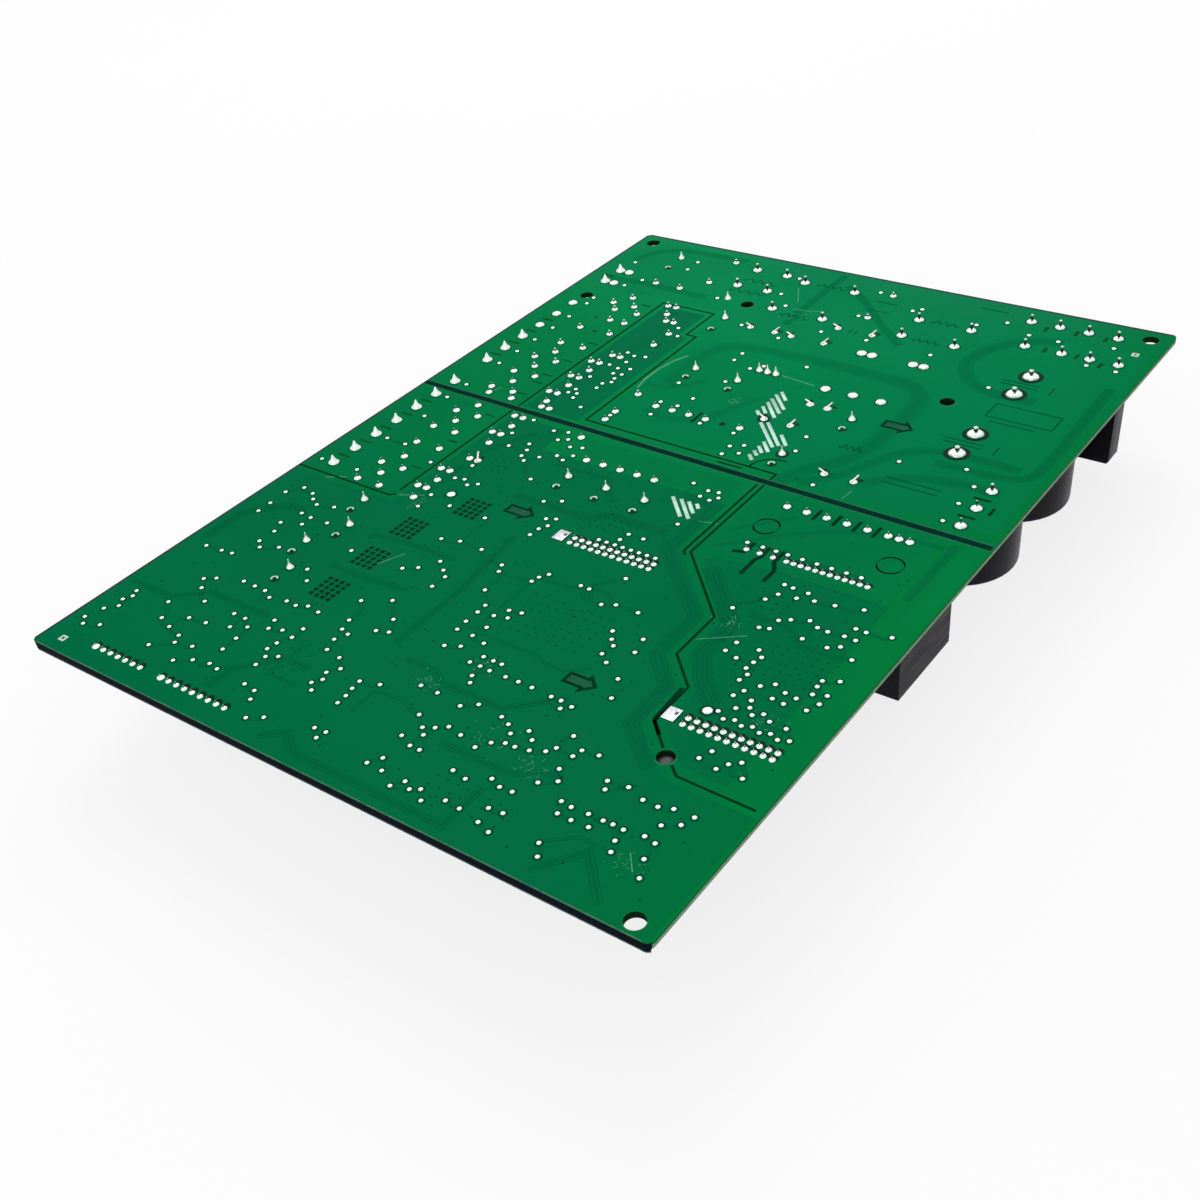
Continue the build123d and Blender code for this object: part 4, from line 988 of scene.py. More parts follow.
def strip(spots: np.ndarray | Spots, width: float, lift: float, closed: bool = False) -> Surface:
    """Flat strip on the solder side.

    Args:
        spots: Columns and rows that it follows.
        width: Its width in millimetres.
        lift: Its thickness in millimetres.
        closed: Whether its ends join.

    Returns:
        The closed surface.
    """
    return ribbon(grid.at(spots), low_profile(width * MM, lift * MM), grid.top, closed)


def circle(column: float, row: float, radius: float, count: int = 32, start: float = 0.0,
           sweep: float = 360.0) -> np.ndarray:
    """Spots at even angles round a spot, over a sweep in degrees."""
    angle = np.radians(np.linspace(start, start + sweep, count, endpoint=sweep < 360.0))
    return np.column_stack((column + radius * np.cos(angle), row + radius * np.sin(angle)))


@dataclass(frozen=True)
class CopperWork:
    """Copper under the mask: pours, the gaps between them, traces and the vias."""

    lift: float = 0.006
    ground: tuple[Spots, ...] = (
        ((0.25, 0.4), (33.8, 0.4), (33.8, 19.6), (35.8, 23.6), (45.0, 33.8), (57.4, 33.4), (65.2, 41.4),
         (79.4, 41.4), (97.0, 59.2), (97.0, 60.6), (118.0, 60.6), (118.0, 115.6), (128.2, 115.6),
         (128.2, 133.4), (81.6, 133.4), (81.6, 167.4), (0.25, 167.4)),
        ((38.0, 9.5), (100.5, 9.5), (100.5, 36.0), (98.5, 52.0), (96.6, 53.0), (81.2, 37.4), (66.8, 37.4),
         (59.2, 29.4), (47.4, 29.4), (43.0, 24.6), (38.6, 20.4)),
        ((133.6, 133.4), (133.6, 116.4), (184.6, 116.4), (184.6, 119.6), (198.6, 119.6), (198.6, 133.4)),
    )
    power: tuple[Spots, ...] = (
        ((137.0, 112.6), (137.0, 75.0), (141.0, 60.5), (134.0, 54.0), (134.0, 2.0), (226.0, 2.0),
         (229.0, 30.0), (229.0, 110.0), (236.0, 112.0), (236.0, 158.0), (228.0, 165.0), (203.0, 165.0),
         (203.0, 115.6), (188.0, 115.6), (188.0, 112.6)),
    )
    bright: tuple[Spots, ...] = (
        ((101.5, 10.5), (127.6, 10.5), (127.6, 55.8), (99.6, 55.8), (99.6, 53.5), (101.5, 36.0)),
        ((85.2, 136.8), (104.0, 136.8), (104.0, 148.0), (129.0, 148.0), (129.0, 167.2), (85.2, 167.2)),
        ((119.4, 61.6), (127.8, 61.6), (127.8, 110.0), (119.4, 102.0)),
        ((97.0, 0.8), (128.0, 0.8), (128.0, 5.4), (97.0, 5.4)),
    )
    gaps: tuple[tuple[float, Spots], ...] = (
        (2.6, ((131.5, 55.5), (139.0, 52.8), (149.0, 44.0), (178.0, 42.2), (185.6, 46.0), (188.0, 54.0),
               (188.0, 98.0), (184.0, 105.5), (172.0, 107.4), (160.0, 106.8))),
        (2.2, ((192.0, 18.0), (191.4, 30.0), (196.0, 38.6), (205.0, 42.6), (214.0, 40.0), (222.0, 33.0),
               (224.0, 24.0))),
        (1.6, ((156.0, 27.0), (156.4, 5.4), (164.0, 3.4), (206.0, 4.6))),
        (2.0, ((140.0, 38.0), (147.0, 30.0), (150.0, 20.0), (150.0, 8.0))),
        (1.8, ((209.0, 164.0), (208.4, 156.0), (209.6, 148.0), (208.6, 126.0))),
        (1.6, ((222.0, 161.0), (230.0, 158.0), (234.6, 150.0), (234.6, 128.0))),
        (1.6, ((147.0, 104.0), (144.6, 96.0), (148.0, 87.0), (156.0, 84.6), (164.0, 80.0))),
        (1.4, ((203.0, 96.0), (222.0, 96.6), (238.0, 96.0))),
        (1.4, ((205.0, 62.0), (214.0, 72.0), (226.0, 84.0), (232.0, 92.0))),
        (1.2, ((158.0, 112.0), (158.6, 104.0), (166.0, 98.0))),
        (1.8, ((133.5, 51.0), (141.0, 43.4), (158.0, 36.0), (162.0, 24.0), (161.0, 8.0))),
        (1.2, ((104.0, 7.4), (127.0, 7.4))),
        (1.0, ((102.6, 53.8), (118.0, 37.4), (124.6, 20.0), (124.6, 9.0))),
        (1.0, ((109.4, 54.6), (121.0, 43.4))),
    )
    bundles: tuple[tuple[int, float, Spots], ...] = (
        (3, 1.1, ((35.0, 24.6), (43.6, 35.0), (56.4, 35.4), (64.0, 43.0), (78.6, 43.2), (95.6, 62.2),
                  (116.0, 62.2), (116.6, 72.0))),
        (2, 0.9, ((3.4, 98.0), (7.0, 93.0), (3.4, 88.0), (3.4, 48.5), (15.0, 48.5))),
        (1, 0.9, ((18.5, 86.4), (25.6, 86.4), (26.6, 80.0), (24.4, 73.6))),
        (2, 0.8, ((20.6, 64.0), (20.6, 46.0), (24.2, 41.0), (24.2, 37.0))),
        (1, 0.8, ((51.6, 84.0), (52.6, 82.0), (73.4, 82.0), (74.0, 73.0), (76.0, 69.6), (76.0, 64.0),
                  (72.6, 60.0))),
        (1, 0.8, ((51.4, 82.0), (51.4, 64.0), (50.2, 61.6), (50.2, 56.4), (53.6, 51.8))),
        (2, 0.9, ((55.6, 105.0), (54.4, 116.0), (54.4, 128.0))),
        (2, 0.9, ((69.8, 103.0), (69.8, 117.0), (68.4, 128.0))),
        (1, 0.9, ((29.6, 111.0), (18.6, 111.0), (18.6, 102.6))),
        (2, 0.9, ((3.0, 28.0), (12.0, 21.4), (3.0, 12.6))),
        (1, 0.8, ((9.6, 30.4), (14.0, 25.0), (14.0, 19.4))),
        (4, 1.0, ((56.0, 24.0), (62.0, 30.6), (69.0, 35.0), (79.6, 35.0), (95.0, 50.0))),
        (2, 0.9, ((84.6, 33.6), (84.6, 24.0), (80.4, 19.0), (80.4, 9.0))),
        (3, 0.9, ((98.0, 108.0), (98.0, 86.0), (101.6, 82.0), (101.6, 66.4))),
        (2, 0.9, ((114.0, 108.0), (114.0, 92.0), (107.4, 86.4), (106.8, 84.6))),
        (2, 0.9, ((27.0, 165.0), (27.0, 152.0), (33.0, 145.0), (33.0, 126.0))),
        (3, 0.9, ((48.0, 164.0), (60.0, 164.0), (68.0, 156.0), (68.0, 150.0))),
        (2, 0.9, ((9.0, 119.0), (16.0, 119.0), (24.0, 111.0), (24.0, 104.0))),
        (2, 0.9, ((86.0, 128.6), (110.0, 128.6), (124.0, 122.0))),
        (2, 0.9, ((134.8, 129.4), (158.0, 129.4), (176.0, 126.0), (196.0, 126.0))),
        (2, 0.9, ((40.0, 94.0), (60.0, 94.0), (84.0, 97.0))),
        (2, 0.9, ((37.0, 88.0), (37.0, 80.0), (34.6, 76.0), (34.6, 60.0), (44.0, 50.0))),
    )
    gap_layers: Spots = ((1.9, 1.6), (1.4, 1.8), (0.8, 2.0))
    trace_width: float = 0.4
    trace_slope: float = 0.04
    run_step: float = 0.0004
    run_levels: int = 11
    gap_width: float = 0.86
    shortest: float = 2.6
    longest: float = 11.0
    least_leg: float = 0.2
    traced_columns: float = 118.0
    via_fields: tuple[tuple[float, float, int, int, float], ...] = (
        (56.0, 58.0, 6, 9, 2.5), (69.0, 9.0, 5, 7, 2.3), (19.0, 107.0, 5, 3, 2.8), (96.0, 76.0, 4, 5, 2.0),
        (42.0, 118.0, 3, 3, 1.6), (8.0, 40.0, 3, 8, 2.6), (104.0, 118.0, 4, 3, 2.4), (88.0, 28.0, 3, 4, 2.4),
    )
    loose_vias: int = 260
    via_region: Spots = ((4.0, 4.0), (118.0, 164.0))
    via_clear: float = 1.1
    via_radius: float = 0.24

    def lands(self) -> np.ndarray:
        """Places of the test lands: the highest point of each peaked solid."""
        solids = islands("solder_lands")
        return np.array([solid[solid[:, 2].argmax()] for solid in solids if is_peaked(solid)])

    def links(self) -> list[np.ndarray]:
        """Traces from each land to its nearest one that is neither too close nor too far.

        A trace runs straight along the longer way by the difference of the two ways, then diagonally.

        Returns:
            Path of each trace as rows of (x, y).
        """
        spots = self.lands()[:, :2]
        spots = spots[spots[:, 0] < grid.at(((self.traced_columns, 0.0),))[0, 0]]
        gap = np.linalg.norm(spots[:, None] - spots[None], axis=2)
        gap[gap < self.shortest * MM] = np.inf
        nearest = gap.argmin(1)
        near = np.flatnonzero(gap[np.arange(len(spots)), nearest] < self.longest * MM)
        pairs = np.unique(np.sort(np.column_stack((near, nearest[near])), axis=1), axis=0)
        start, end = spots[pairs[:, 0]], spots[pairs[:, 1]]
        way = np.abs(end - start)
        straight = np.clip(way - way[:, ::-1], 0.0, None)
        bend = start + np.sign(end - start) * straight
        paths = []
        for first, middle, last in zip(start, bend, end):
            legs = [first, middle, last]
            if min(np.linalg.norm(middle - first), np.linalg.norm(last - middle)) < self.least_leg * MM:
                legs = [first, last]
            paths.append(np.array(legs))
        return paths

    def vias(self) -> np.ndarray:
        """Via places: even fields, and loose ones drawn at random over the logic side, off the lands.

        Returns:
            Their places on the solder side.
        """
        draw = np.random.default_rng(7)
        fields = []
        for column, row, across, along, pitch in self.via_fields:
            x, y = np.meshgrid(column + np.arange(across) * pitch, row + np.arange(along) * pitch)
            fields.append(np.column_stack((x.ravel(), y.ravel())))
        loose = draw.uniform(*self.via_region, (self.loose_vias, 2))
        places = grid.on_top(np.concatenate((*fields, loose)))
        gap = np.linalg.norm(places[:, None, :2] - self.lands()[None, :, :2], axis=2).min(1)
        return places[gap > self.via_clear * MM]

    def build(self) -> None:
        """Makes the pours, gaps, traces and vias."""
        kinds = (("ground_pours", self.ground, Finishes.ground), ("power_pours", self.power, Finishes.power),
                 ("bare_areas", self.bright, Finishes.bright))
        for name, outlines, finish in kinds:
            lay(name, [pour(outline, self.lift) for outline in outlines], finish)
        soft = [(softened(np.array(spots)), width) for width, spots in self.gaps]
        layers = (("pour_gap_slopes", Finishes.gap_rim), ("pour_gap_sides", Finishes.gap_side),
                  ("pour_gaps", Finishes.gap))
        for (name, finish), (spread, rise) in zip(layers, self.gap_layers):
            lay(name, [strip(spots, spread * width, rise * self.lift) for spots, width in soft], finish)
        wide = low_profile(self.gap_width * MM, 2.5 * self.lift * MM)
        thin = low_profile(self.trace_width * MM, 3.5 * self.lift * MM, self.trace_slope * MM)
        step = self.run_step * MM
        runs = [(path, 0.0) for path in self.links()]
        runs += [(grid.at(spots), (number - (count - 1) / 2) * pitch)
                 for count, pitch, spots in self.bundles for number in range(count)]
        for name, profile, finish in (("trace_gaps", wide, Finishes.bed), ("traces", thin, Finishes.trace)):
            lay(name, [ribbon(path, profile + (aside * MM, 0.0), grid.top + number % self.run_levels * step)
                       for number, (path, aside) in enumerate(runs)], finish)
        ring = lathe(np.array(((1.0, 0.0), (0.8, 1.0))), 8)
        places = self.vias()
        size = np.tile((self.via_radius * MM, self.via_radius * MM, 4 * self.lift * MM), (len(places), 1))
        lay("vias", [scatter(ring, places, size)], Finishes.ink)


@dataclass(frozen=True)
class BoardPrint:
    """Marks on the solder side: the isolation band, dark lines, arrows, dot fields, rings and scratches, and
    dark lines painted as shade along the far and right edges.
    """

    band_columns: tuple[float, float] = (129.4, 132.1)
    band_width: float = 1.8
    border_width: float = 0.3
    band_end: float = 0.3
    line_width: float = 0.6
    lift: float = 0.03
    arrows: tuple[tuple[float, float, float, float], ...] = (
        (92.7, 105.8, 101.0, 98.5), (49.0, 54.6, 50.0, 47.6), (166.9, 46.0, 41.0, 38.6),
    )
    dot_fields: Spots = ((47.3, 121.0), (61.0, 121.2), (74.7, 121.5), (88.3, 113.5))
    lines: tuple[Spots, ...] = (
        ((83.5, 167.5), (83.5, 136.2), (84.6, 135.0)),
        ((86.5, 135.3), (200.5, 135.3), (200.5, 117.8), (186.3, 117.8), (186.3, 114.5), (135.0, 114.5),
         (134.4, 57.3), (97.8, 57.2), (80.2, 39.5), (66.0, 39.4), (58.3, 31.4), (46.5, 31.4), (41.0, 25.5)),
        ((37.8, 21.4), (35.8, 19.0), (35.5, 1.6)),
        ((96.4, 57.8), (97.6, 58.9), (128.5, 58.9)),
        ((133.0, 66.0), (133.0, 73.0)),
    )
    bars: tuple[tuple[float, float, float, float, float], ...] = (
        *((0.9, 121.4, row, 125.8, row) for row in (40.0, 34.9, 29.8, 24.9)),
        (0.9, 43.7, 28.3, 47.0, 31.8), (0.9, 47.0, 31.8, 57.5, 32.3),
        (0.8, 146.0, 89.4, 151.5, 89.4), (0.8, 138.2, 8.4, 138.2, 12.6), (0.8, 146.2, 8.4, 146.2, 12.6),
        (0.8, 140.8, 6.4, 144.0, 6.4),
    )
    tongues: tuple[Spots, ...] = (
        ((102.6, 49.4), (103.4, 46.8), (107.6, 46.4)),
        ((96.0, 43.1), (102.0, 43.1), (103.4, 42.4), (107.6, 42.5)),
        ((95.8, 37.2), (100.4, 37.2), (103.2, 38.9), (107.6, 38.9)),
    )
    between_pins: Spots = (
        *((column, 160.2) for column in (92.2, 100.1, 108.0, 116.0, 123.9, 153.6, 161.5, 169.4, 177.3)),
        (209.4, 161.5),
    )
    under_relays: tuple[float, ...] = (96.5, 110.5, 125.5, 138.7, 145.5, 150.0, 159.0, 170.5, 196.8)
    side_bars: Spots = (
        (229.6, 31.4), (230.6, 23.4), (230.4, 15.4), (218.6, 27.0), (218.6, 18.4), (216.6, 11.4),
    )
    symbols: tuple[Spots, ...] = (
        ((166.0, 30.0), (166.0, 20.0)), ((167.6, 30.0), (167.6, 20.0)), ((198.0, 30.0), (198.0, 20.0)),
        ((199.6, 30.0), (199.6, 20.0)), ((164.8, 16.6), (168.6, 16.6)), ((196.8, 16.6), (200.6, 16.6)),
        ((205.8, 76.0), (208.2, 76.0)), ((205.8, 77.6), (208.2, 77.6)), ((221.0, 79.6), (221.0, 73.4)),
        ((226.4, 79.6), (226.4, 73.4)), ((195.8, 131.0), (195.8, 127.0)), ((139.0, 48.4), (139.0, 45.4)),
        ((140.4, 48.4), (140.4, 45.4)), ((138.0, 46.9), (139.0, 46.9)), ((140.4, 46.9), (141.6, 46.9)),
        ((181.0, 26.0), (181.0, 9.0), (187.6, 9.0), (187.6, 26.0), (181.0, 26.0)),
        ((179.0, 24.0), (179.0, 12.6)), ((143.0, 34.0), (143.0, 20.0)), ((145.2, 34.0), (145.2, 20.0)),
        ((234.4, 52.0), (234.4, 44.0)), ((175.6, 121.0), (178.8, 121.0)),
    )
    squiggles: tuple[tuple[float, float, float, float], ...] = (
        (208.6, 100.6, 208.6, 92.0), (229.4, 100.6, 229.4, 92.0), (210.0, 60.6, 210.0, 52.6),
        (221.6, 60.6, 221.6, 52.6), (152.6, 50.4, 153.0, 44.4), (224.0, 122.6, 224.0, 111.4),
        (216.6, 122.6, 216.6, 111.4),
    )
    rings: tuple[Triple, ...] = ((114.4, 47.7, 3.0), (113.8, 16.3, 3.0))
    ring_gap: float = 25.0
    corner_arc: Triple = (134.4, 59.0, 6.0)
    fiducials: Spots = ((4.1, 161.7), (225.6, 5.8))
    fiducial_half: float = 0.64
    scratches: tuple[tuple[float, Spots], ...] = (
        (0.45, ((155.0, 112.4), (160.0, 113.3), (166.0, 113.2), (172.0, 112.0), (176.0, 110.2))),
        (0.3, ((177.2, 81.4), (176.6, 76.0), (176.0, 71.0))),
        (0.2, ((82.0, 157.0), (84.8, 152.0))), (0.2, ((84.6, 134.0), (87.4, 128.0))),
        (0.2, ((12.0, 12.0), (15.6, 15.0))), (0.22, ((217.0, 100.0), (225.0, 104.6))),
        (0.2, ((212.4, 99.0), (213.0, 94.6), (214.4, 91.0))), (0.18, ((109.0, 62.6), (110.0, 58.0))),
        (0.18, ((132.0, 38.4), (136.0, 38.0))), (0.2, ((60.0, 118.0), (66.0, 115.0))),
        (0.16, ((72.0, 38.6), (78.0, 30.0))), (0.18, ((136.0, 147.0), (139.0, 146.0))),
    )
    speckled: tuple[Triple, ...] = (
        (43.0, 72.0, 4.0), (26.0, 56.0, 4.5), (84.0, 127.0, 3.5), (80.0, 35.0, 2.5), (56.0, 13.0, 3.5),
        (13.0, 14.0, 3.0), (24.0, 44.0, 4.0), (209.0, 97.0, 4.0), (160.0, 85.0, 2.0), (33.0, 79.0, 3.0),
    )

    arrow_line: float = 0.75
    arrow_shaft: float = 1.4
    arrow_head: float = 2.3
    dot_counts: tuple[int, int] = (5, 4)
    dot_reach: tuple[float, float] = (3.2, 2.7)
    dot_half: float = 0.55
    coil_points: int = 36
    coil_swings: float = 3.5
    coil_swing: float = 0.9
    fleck_count: int = 22
    fleck_reach: float = 0.45
    fleck_drift: float = 0.12

    def arrow_outline(self, column: float, top: float, shoulder: float, tip: float) -> Spots:
        """Corners of an arrow, turning left.

        Args:
            column: Column of its middle.
            top: Row of its blunt end.
            shoulder: Row where its head starts.
            tip: Row of its point.

        Returns:
            The corners as spots.
        """
        shaft, head = self.arrow_shaft, self.arrow_head
        return (
            (column - shaft, top), (column - shaft, shoulder), (column - head, shoulder), (column, tip),
            (column + head, shoulder), (column + shaft, shoulder), (column + shaft, top),
        )

    def dots(self, column: float, row: float) -> Surface:
        """Field of square dots in even columns and rows.

        Args:
            column: Column of their middle.
            row: Row of their middle.

        Returns:
            All dots as one surface.
        """
        across, along = np.meshgrid(*(np.linspace(-reach, reach, count)
                                      for reach, count in zip(self.dot_reach, self.dot_counts)))
        places = grid.on_top(np.column_stack((column + across.ravel(), row + along.ravel())))
        half = self.dot_half * MM
        outline = np.array(((-half, -half), (half, -half), (half, half), (-half, half)))
        return scatter(plate(outline, 0.0, self.lift * MM), places)

    def squiggle(self, column: float, row: float, end_column: float, end_row: float) -> Surface:
        """Coil mark: a sine wave of so many swings between two spots.

        Args:
            column: Column of its start.
            row: Row of its start.
            end_column: Column of its end.
            end_row: Row of its end.

        Returns:
            The wave as a printed line.
        """
        share = np.linspace(0, 1, self.coil_points)[:, None]
        start, end = np.array((column, row)), np.array((end_column, end_row))
        across = np.array((end_row - row, column - end_column)) / np.linalg.norm(end - start)
        wave = self.coil_swing * np.sin(share * 2 * self.coil_swings * math.pi)
        spots = start + share * (end - start) + wave * across
        return strip(spots, 0.3, self.lift)

    def flecks(self) -> Surface:
        """Short pale scratches, drawn at random round the worn places.

        Returns:
            All scratches as one surface.
        """
        draw = np.random.default_rng(11)
        parts = []
        for column, row, reach in self.speckled:
            spots = draw.normal((column, row), reach / 2, (self.fleck_count, 2))
            ends = spots + draw.normal(0.0, self.fleck_reach, (self.fleck_count, 2)) + self.fleck_drift
            parts += [strip(np.array(pair), 0.09, self.lift) for pair in zip(spots, ends)]
        return gathered(parts)

    def build(self) -> None:
        """Makes every printed piece and the painted shade along the far and right edges."""
        low, high = self.band_columns
        last = grid.rows - self.band_end
        ends = ((low, self.band_end), (high, last))
        wide = self.band_width + 2 * self.border_width
        lay("isolation_band", [strip(ends, self.band_width, self.lift + 0.006)], Finishes.band)
        lay("isolation_band_border", [strip(ends, wide, self.lift + 0.002)], Finishes.band_edge)
        outlines = [self.arrow_outline(*sizes) for sizes in self.arrows]
        marks = [strip(spots, self.line_width, self.lift) for spots in self.lines]
        marks += [strip(((a, b), (c, d)), width, self.lift) for width, a, b, c, d in self.bars]
        marks += [strip(spots, 1.0, self.lift) for spots in self.tongues]
        marks += [strip(outline, self.arrow_line, self.lift, closed=True) for outline in outlines]
        marks += [self.dots(*spot) for spot in self.dot_fields]
        marks += [strip(circle(column, row, radius, 14, start, 180.0 - 2 * self.ring_gap), 0.45, self.lift)
                  for column, row, radius in self.rings
                  for start in (self.ring_gap - 90, self.ring_gap + 90)]
        marks.append(strip(circle(*self.corner_arc, 16, -10.0, 100.0), 0.5, self.lift))
        lay("dark_print", marks, Finishes.ink)
        fills = [plate(grid.at(outline), grid.top, 0.8 * self.lift * MM) for outline in outlines]
        lay("arrow_fills", fills, Finishes.arrow_fill)
        # Painted shade: dark lines along the far and right edges of the solder side.
        far = ((1.0, grid.rows - 0.36), (grid.columns - 1.0, grid.rows - 0.36))
        right = ((grid.columns - 0.46, 1.0), (grid.columns - 0.46, grid.rows - 1.0))
        lay("rim_shade_lines", [strip(far, 0.66, self.lift), strip(right, 0.86, self.lift)], Finishes.rim)
        line = strip(((0.2, 1.6), (0.2, grid.rows - 1.6)), 0.3, self.lift)
        hollows = [strip(circle(column, row, grid.hole_radius - 0.1, 20, 140.0, 150.0), 0.2, self.lift)
                   for column, row in grid.holes]
        lay("edge_line", [line, *hollows], Finishes.edge_line)
        bars = [strip(((x, y - 1.9), (x, y + 1.9)), 0.8, self.lift) for x, y in self.between_pins]
        bars += [strip(((x - 1.4, y), (x + 1.4, y)), 0.95, self.lift) for x, y in self.side_bars]
        lay("pin_bars", bars, Finishes.olive)
        thin = [strip(((x, 137.4), (x, 140.6)), 0.5, self.lift) for x in self.under_relays]
        thin += [strip(spots, 0.32, self.lift) for spots in self.symbols]
        thin += [self.squiggle(*ends) for ends in self.squiggles]
        thin += [strip(circle(column, row, radius, 32), 0.22, self.lift, closed=True)
                 for column, row, radius in self.rings]
        lay("faint_print", thin, Finishes.faint)
        half = self.fiducial_half
        square = np.array(((-half, -half), (half, -half), (half, half), (-half, half)))
        marks = [strip(square + spot, 0.5, self.lift, closed=True) for spot in self.fiducials]
        lay("board_corner_marks", marks, Finishes.chalk)
        worn = [strip(spots, width, self.lift) for width, spots in self.scratches]
        lay("scratches", [*worn, self.flecks()], Finishes.scratch)


def is_peaked(solid: np.ndarray) -> bool:
    """Whether a solid has a single highest point."""
    return int((solid[:, 2] > solid[:, 2].max() - 0.01 * MM).sum()) == 1


@dataclass(frozen=True)
class SolderJob:
    """Every soldered joint, test land and tinned stripe on the solder side."""

    sides: int = 12
    land_sides: int = 8
    mound: Spots = (
        (1.0, 0.0), (0.96, 0.14), (0.85, 0.38), (0.66, 0.62), (0.44, 0.78), (0.22, 0.88), (0.13, 1.0),
    )
    flared: Spots = (
        (0.88, 0.0), (0.85, 0.05), (0.76, 0.12), (0.62, 0.2), (0.46, 0.31), (0.33, 0.43), (0.24, 0.56),
        (0.17, 0.7), (0.1, 0.83), (0.04, 0.88),
    )
    coned: Spots = (
        (1.0, 0.0), (0.95, 0.1), (0.8, 0.22), (0.52, 0.38), (0.34, 0.6), (0.2, 0.84), (0.1, 1.0),
    )
    land: Spots = (
        (1.0, 0.0), (0.95, 0.3), (0.82, 0.62), (0.6, 0.9), (0.32, 1.06), (0.1, 1.1),
    )
    shank: Spots = ((1.0, 0.0), (0.94, 1.0))
    tip: Spots = ((1.0, 0.0), (1.15, 0.5), (0.7, 1.0))
    disc: Spots = ((1.0, 0.0), (0.98, 1.0))
    spike_height: float = 2.5
    broad_radius: float = 1.4
    heavy_radius: float = 2.2
    heavy_ring: float = 0.85
    mound_share: float = 0.38
    mound_rise: float = 0.16
    mound_reach: float = 0.93
    lead_shares: tuple[float, float] = (0.11, 0.25)
    lead_feet: tuple[float, float] = (0.94, 0.7)
    tip_heights: tuple[float, float] = (0.2, 0.34)
    thick_from: float = 150.0
    fine_radius: float = 1.0
    fine_share: float = 0.9
    fine_shift: float = 0.5
    land_shares: tuple[float, float] = (0.76, 0.95)
    low_rise: float = 0.6
    lone_lead: Spots = ((210.5, 119.5),)
    lone_lead_radius: float = 1.2
    ringed: Spots = ((143, 61), (156, 74))
    under_slack: float = 0.2
    hollow_turn: float = -42.0
    hollow_reach: float = 1.9
    first_radius: float = 1.0
    coned_row: float = 145.0
    bent_along: Spots = ((198, 96), (198, 81), (207, 71), (156, 66), (140, 40))
    bent_up: Spots = ((198, 104), (198, 91), (207, 82), (156, 74), (140, 47))
    bent_far: Spots = ((106, 126),)
    lone_bent: Spots = ((167, 62), (167, 67))
    lone_bent_radius: float = 1.15
    bent_turns: Triple = (0.0, 62.0, 37.0)
    bent_lengths: Triple = (2.7, 2.4, 4.0)
    bar_low: Triple = (-0.3, -0.3, 0.18)
    bar_high: Triple = (1.0, 0.3, 0.74)
    bar_edge: float = 0.2
    film: float = 0.036
    clearance: float = 0.2
    ring_radius: float = 1.75
    end_shade: float = 0.6
    fine_shade: Triple = (0.12, 0.1, 0.95)
    dull_shade: Triple = (-0.35, -0.2, 0.78)
    wafer_shade: Triple = (0.4, 0.2, 0.9)
    empty_holes: tuple[Triple, ...] = ((148.8, 81.7, 0.9), (177.1, 143.0, 0.6), (184.6, 148.0, 0.6))

    def peaks(self, solids: list[np.ndarray]) -> np.ndarray:
        """Place, height and radius of each peaked solid: its highest point over its base's reach.

        Args:
            solids: The corners of each solid.

        Returns:
            Rows of (x, y, z, radius).
        """
        tops = np.array([solid[solid[:, 2].argmax()] for solid in solids])
        reach = np.array([np.linalg.norm(s[:, :2] - t[:2], axis=1).max() for s, t in zip(solids, tops)])
        return np.column_stack((tops, reach))

    def cast(self, profile: Spots, sides: int, places: np.ndarray,
             radius: np.ndarray | float, height: np.ndarray | float,
             foot: np.ndarray | float = 0.0) -> Surface:
        """Turned shape on each place of the solder side.

        Args:
            profile: Rows of (share of the radius, share of the height).
            sides: Points round it.
            places: Rows that begin with (x, y).
            radius: Each one's radius.
            height: Each one's height.
            foot: How far each one starts above the board.

        Returns:
            All of them as one surface.
        """
        count = len(places)
        radius, height, foot = (np.broadcast_to(value, count) for value in (radius, height, foot))
        spots = np.column_stack((places[:, :2], grid.top + foot))
        return scatter(lathe(np.array(profile), sides), spots, np.column_stack((radius, radius, height)))

    def is_slim(self, solid: np.ndarray) -> bool:
        """Whether a flat land is a stripe and not a square, by its spread across its narrower way."""
        return math.sqrt(np.linalg.eigvalsh(np.cov(solid[:, :2].T, bias=True))[0]) < MM

    def stripe(self, solid: np.ndarray) -> Surface:
        """Rounded bar in place of a flat one, whose corners give its middle and its two main directions.

        Args:
            solid: Its corners.

        Returns:
            The rounded bar.
        """
        middle = solid.mean(0)
        share, axes = np.linalg.eigh(np.cov((solid[:, :2] - middle[:2]).T, bias=True))
        half = np.sqrt(share)
        high = np.array((half[1], half[0], solid[:, 2].max() - grid.top))
        bar = rounded_box(high * (-1, -1, 0), high, 0.09 * MM)
        turn = np.array((math.atan2(axes[1, 1], axes[0, 1]),))
        return scatter(bar, np.array(((middle[0], middle[1], grid.top),)), None, turn)

    def under(self, found: np.ndarray, *names: str) -> np.ndarray:
        """Whether each joint lies under one of the named components, solid by solid.

        Args:
            found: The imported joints' places and radii.
            names: Nodes of the components.

        Returns:
            True for each joint that does.
        """
        inside = np.zeros(len(found), bool)
        for solid in (solid for name in names for solid in islands(name)):
            low, high = solid.min(0)[:2] - self.under_slack * MM, solid.max(0)[:2] + self.under_slack * MM
            inside |= ((found[:, :2] > low) & (found[:, :2] < high)).all(1)
        return inside

    def past_middle(self, found: np.ndarray, group: np.ndarray, axis: int) -> np.ndarray:
        """Those of a group of joints that lie past its middle along X (0) or Y (1)."""
        return group & (found[:, axis] > found[group, axis].mean())

    def nearest(self, found: np.ndarray, spots: Spots) -> np.ndarray:
        """Number of the joint nearest to each place, given to the whole millimetre."""
        gap = np.linalg.norm(found[None, :, :2] - grid.at(spots)[:, None], axis=2)
        return gap.argmin(1)

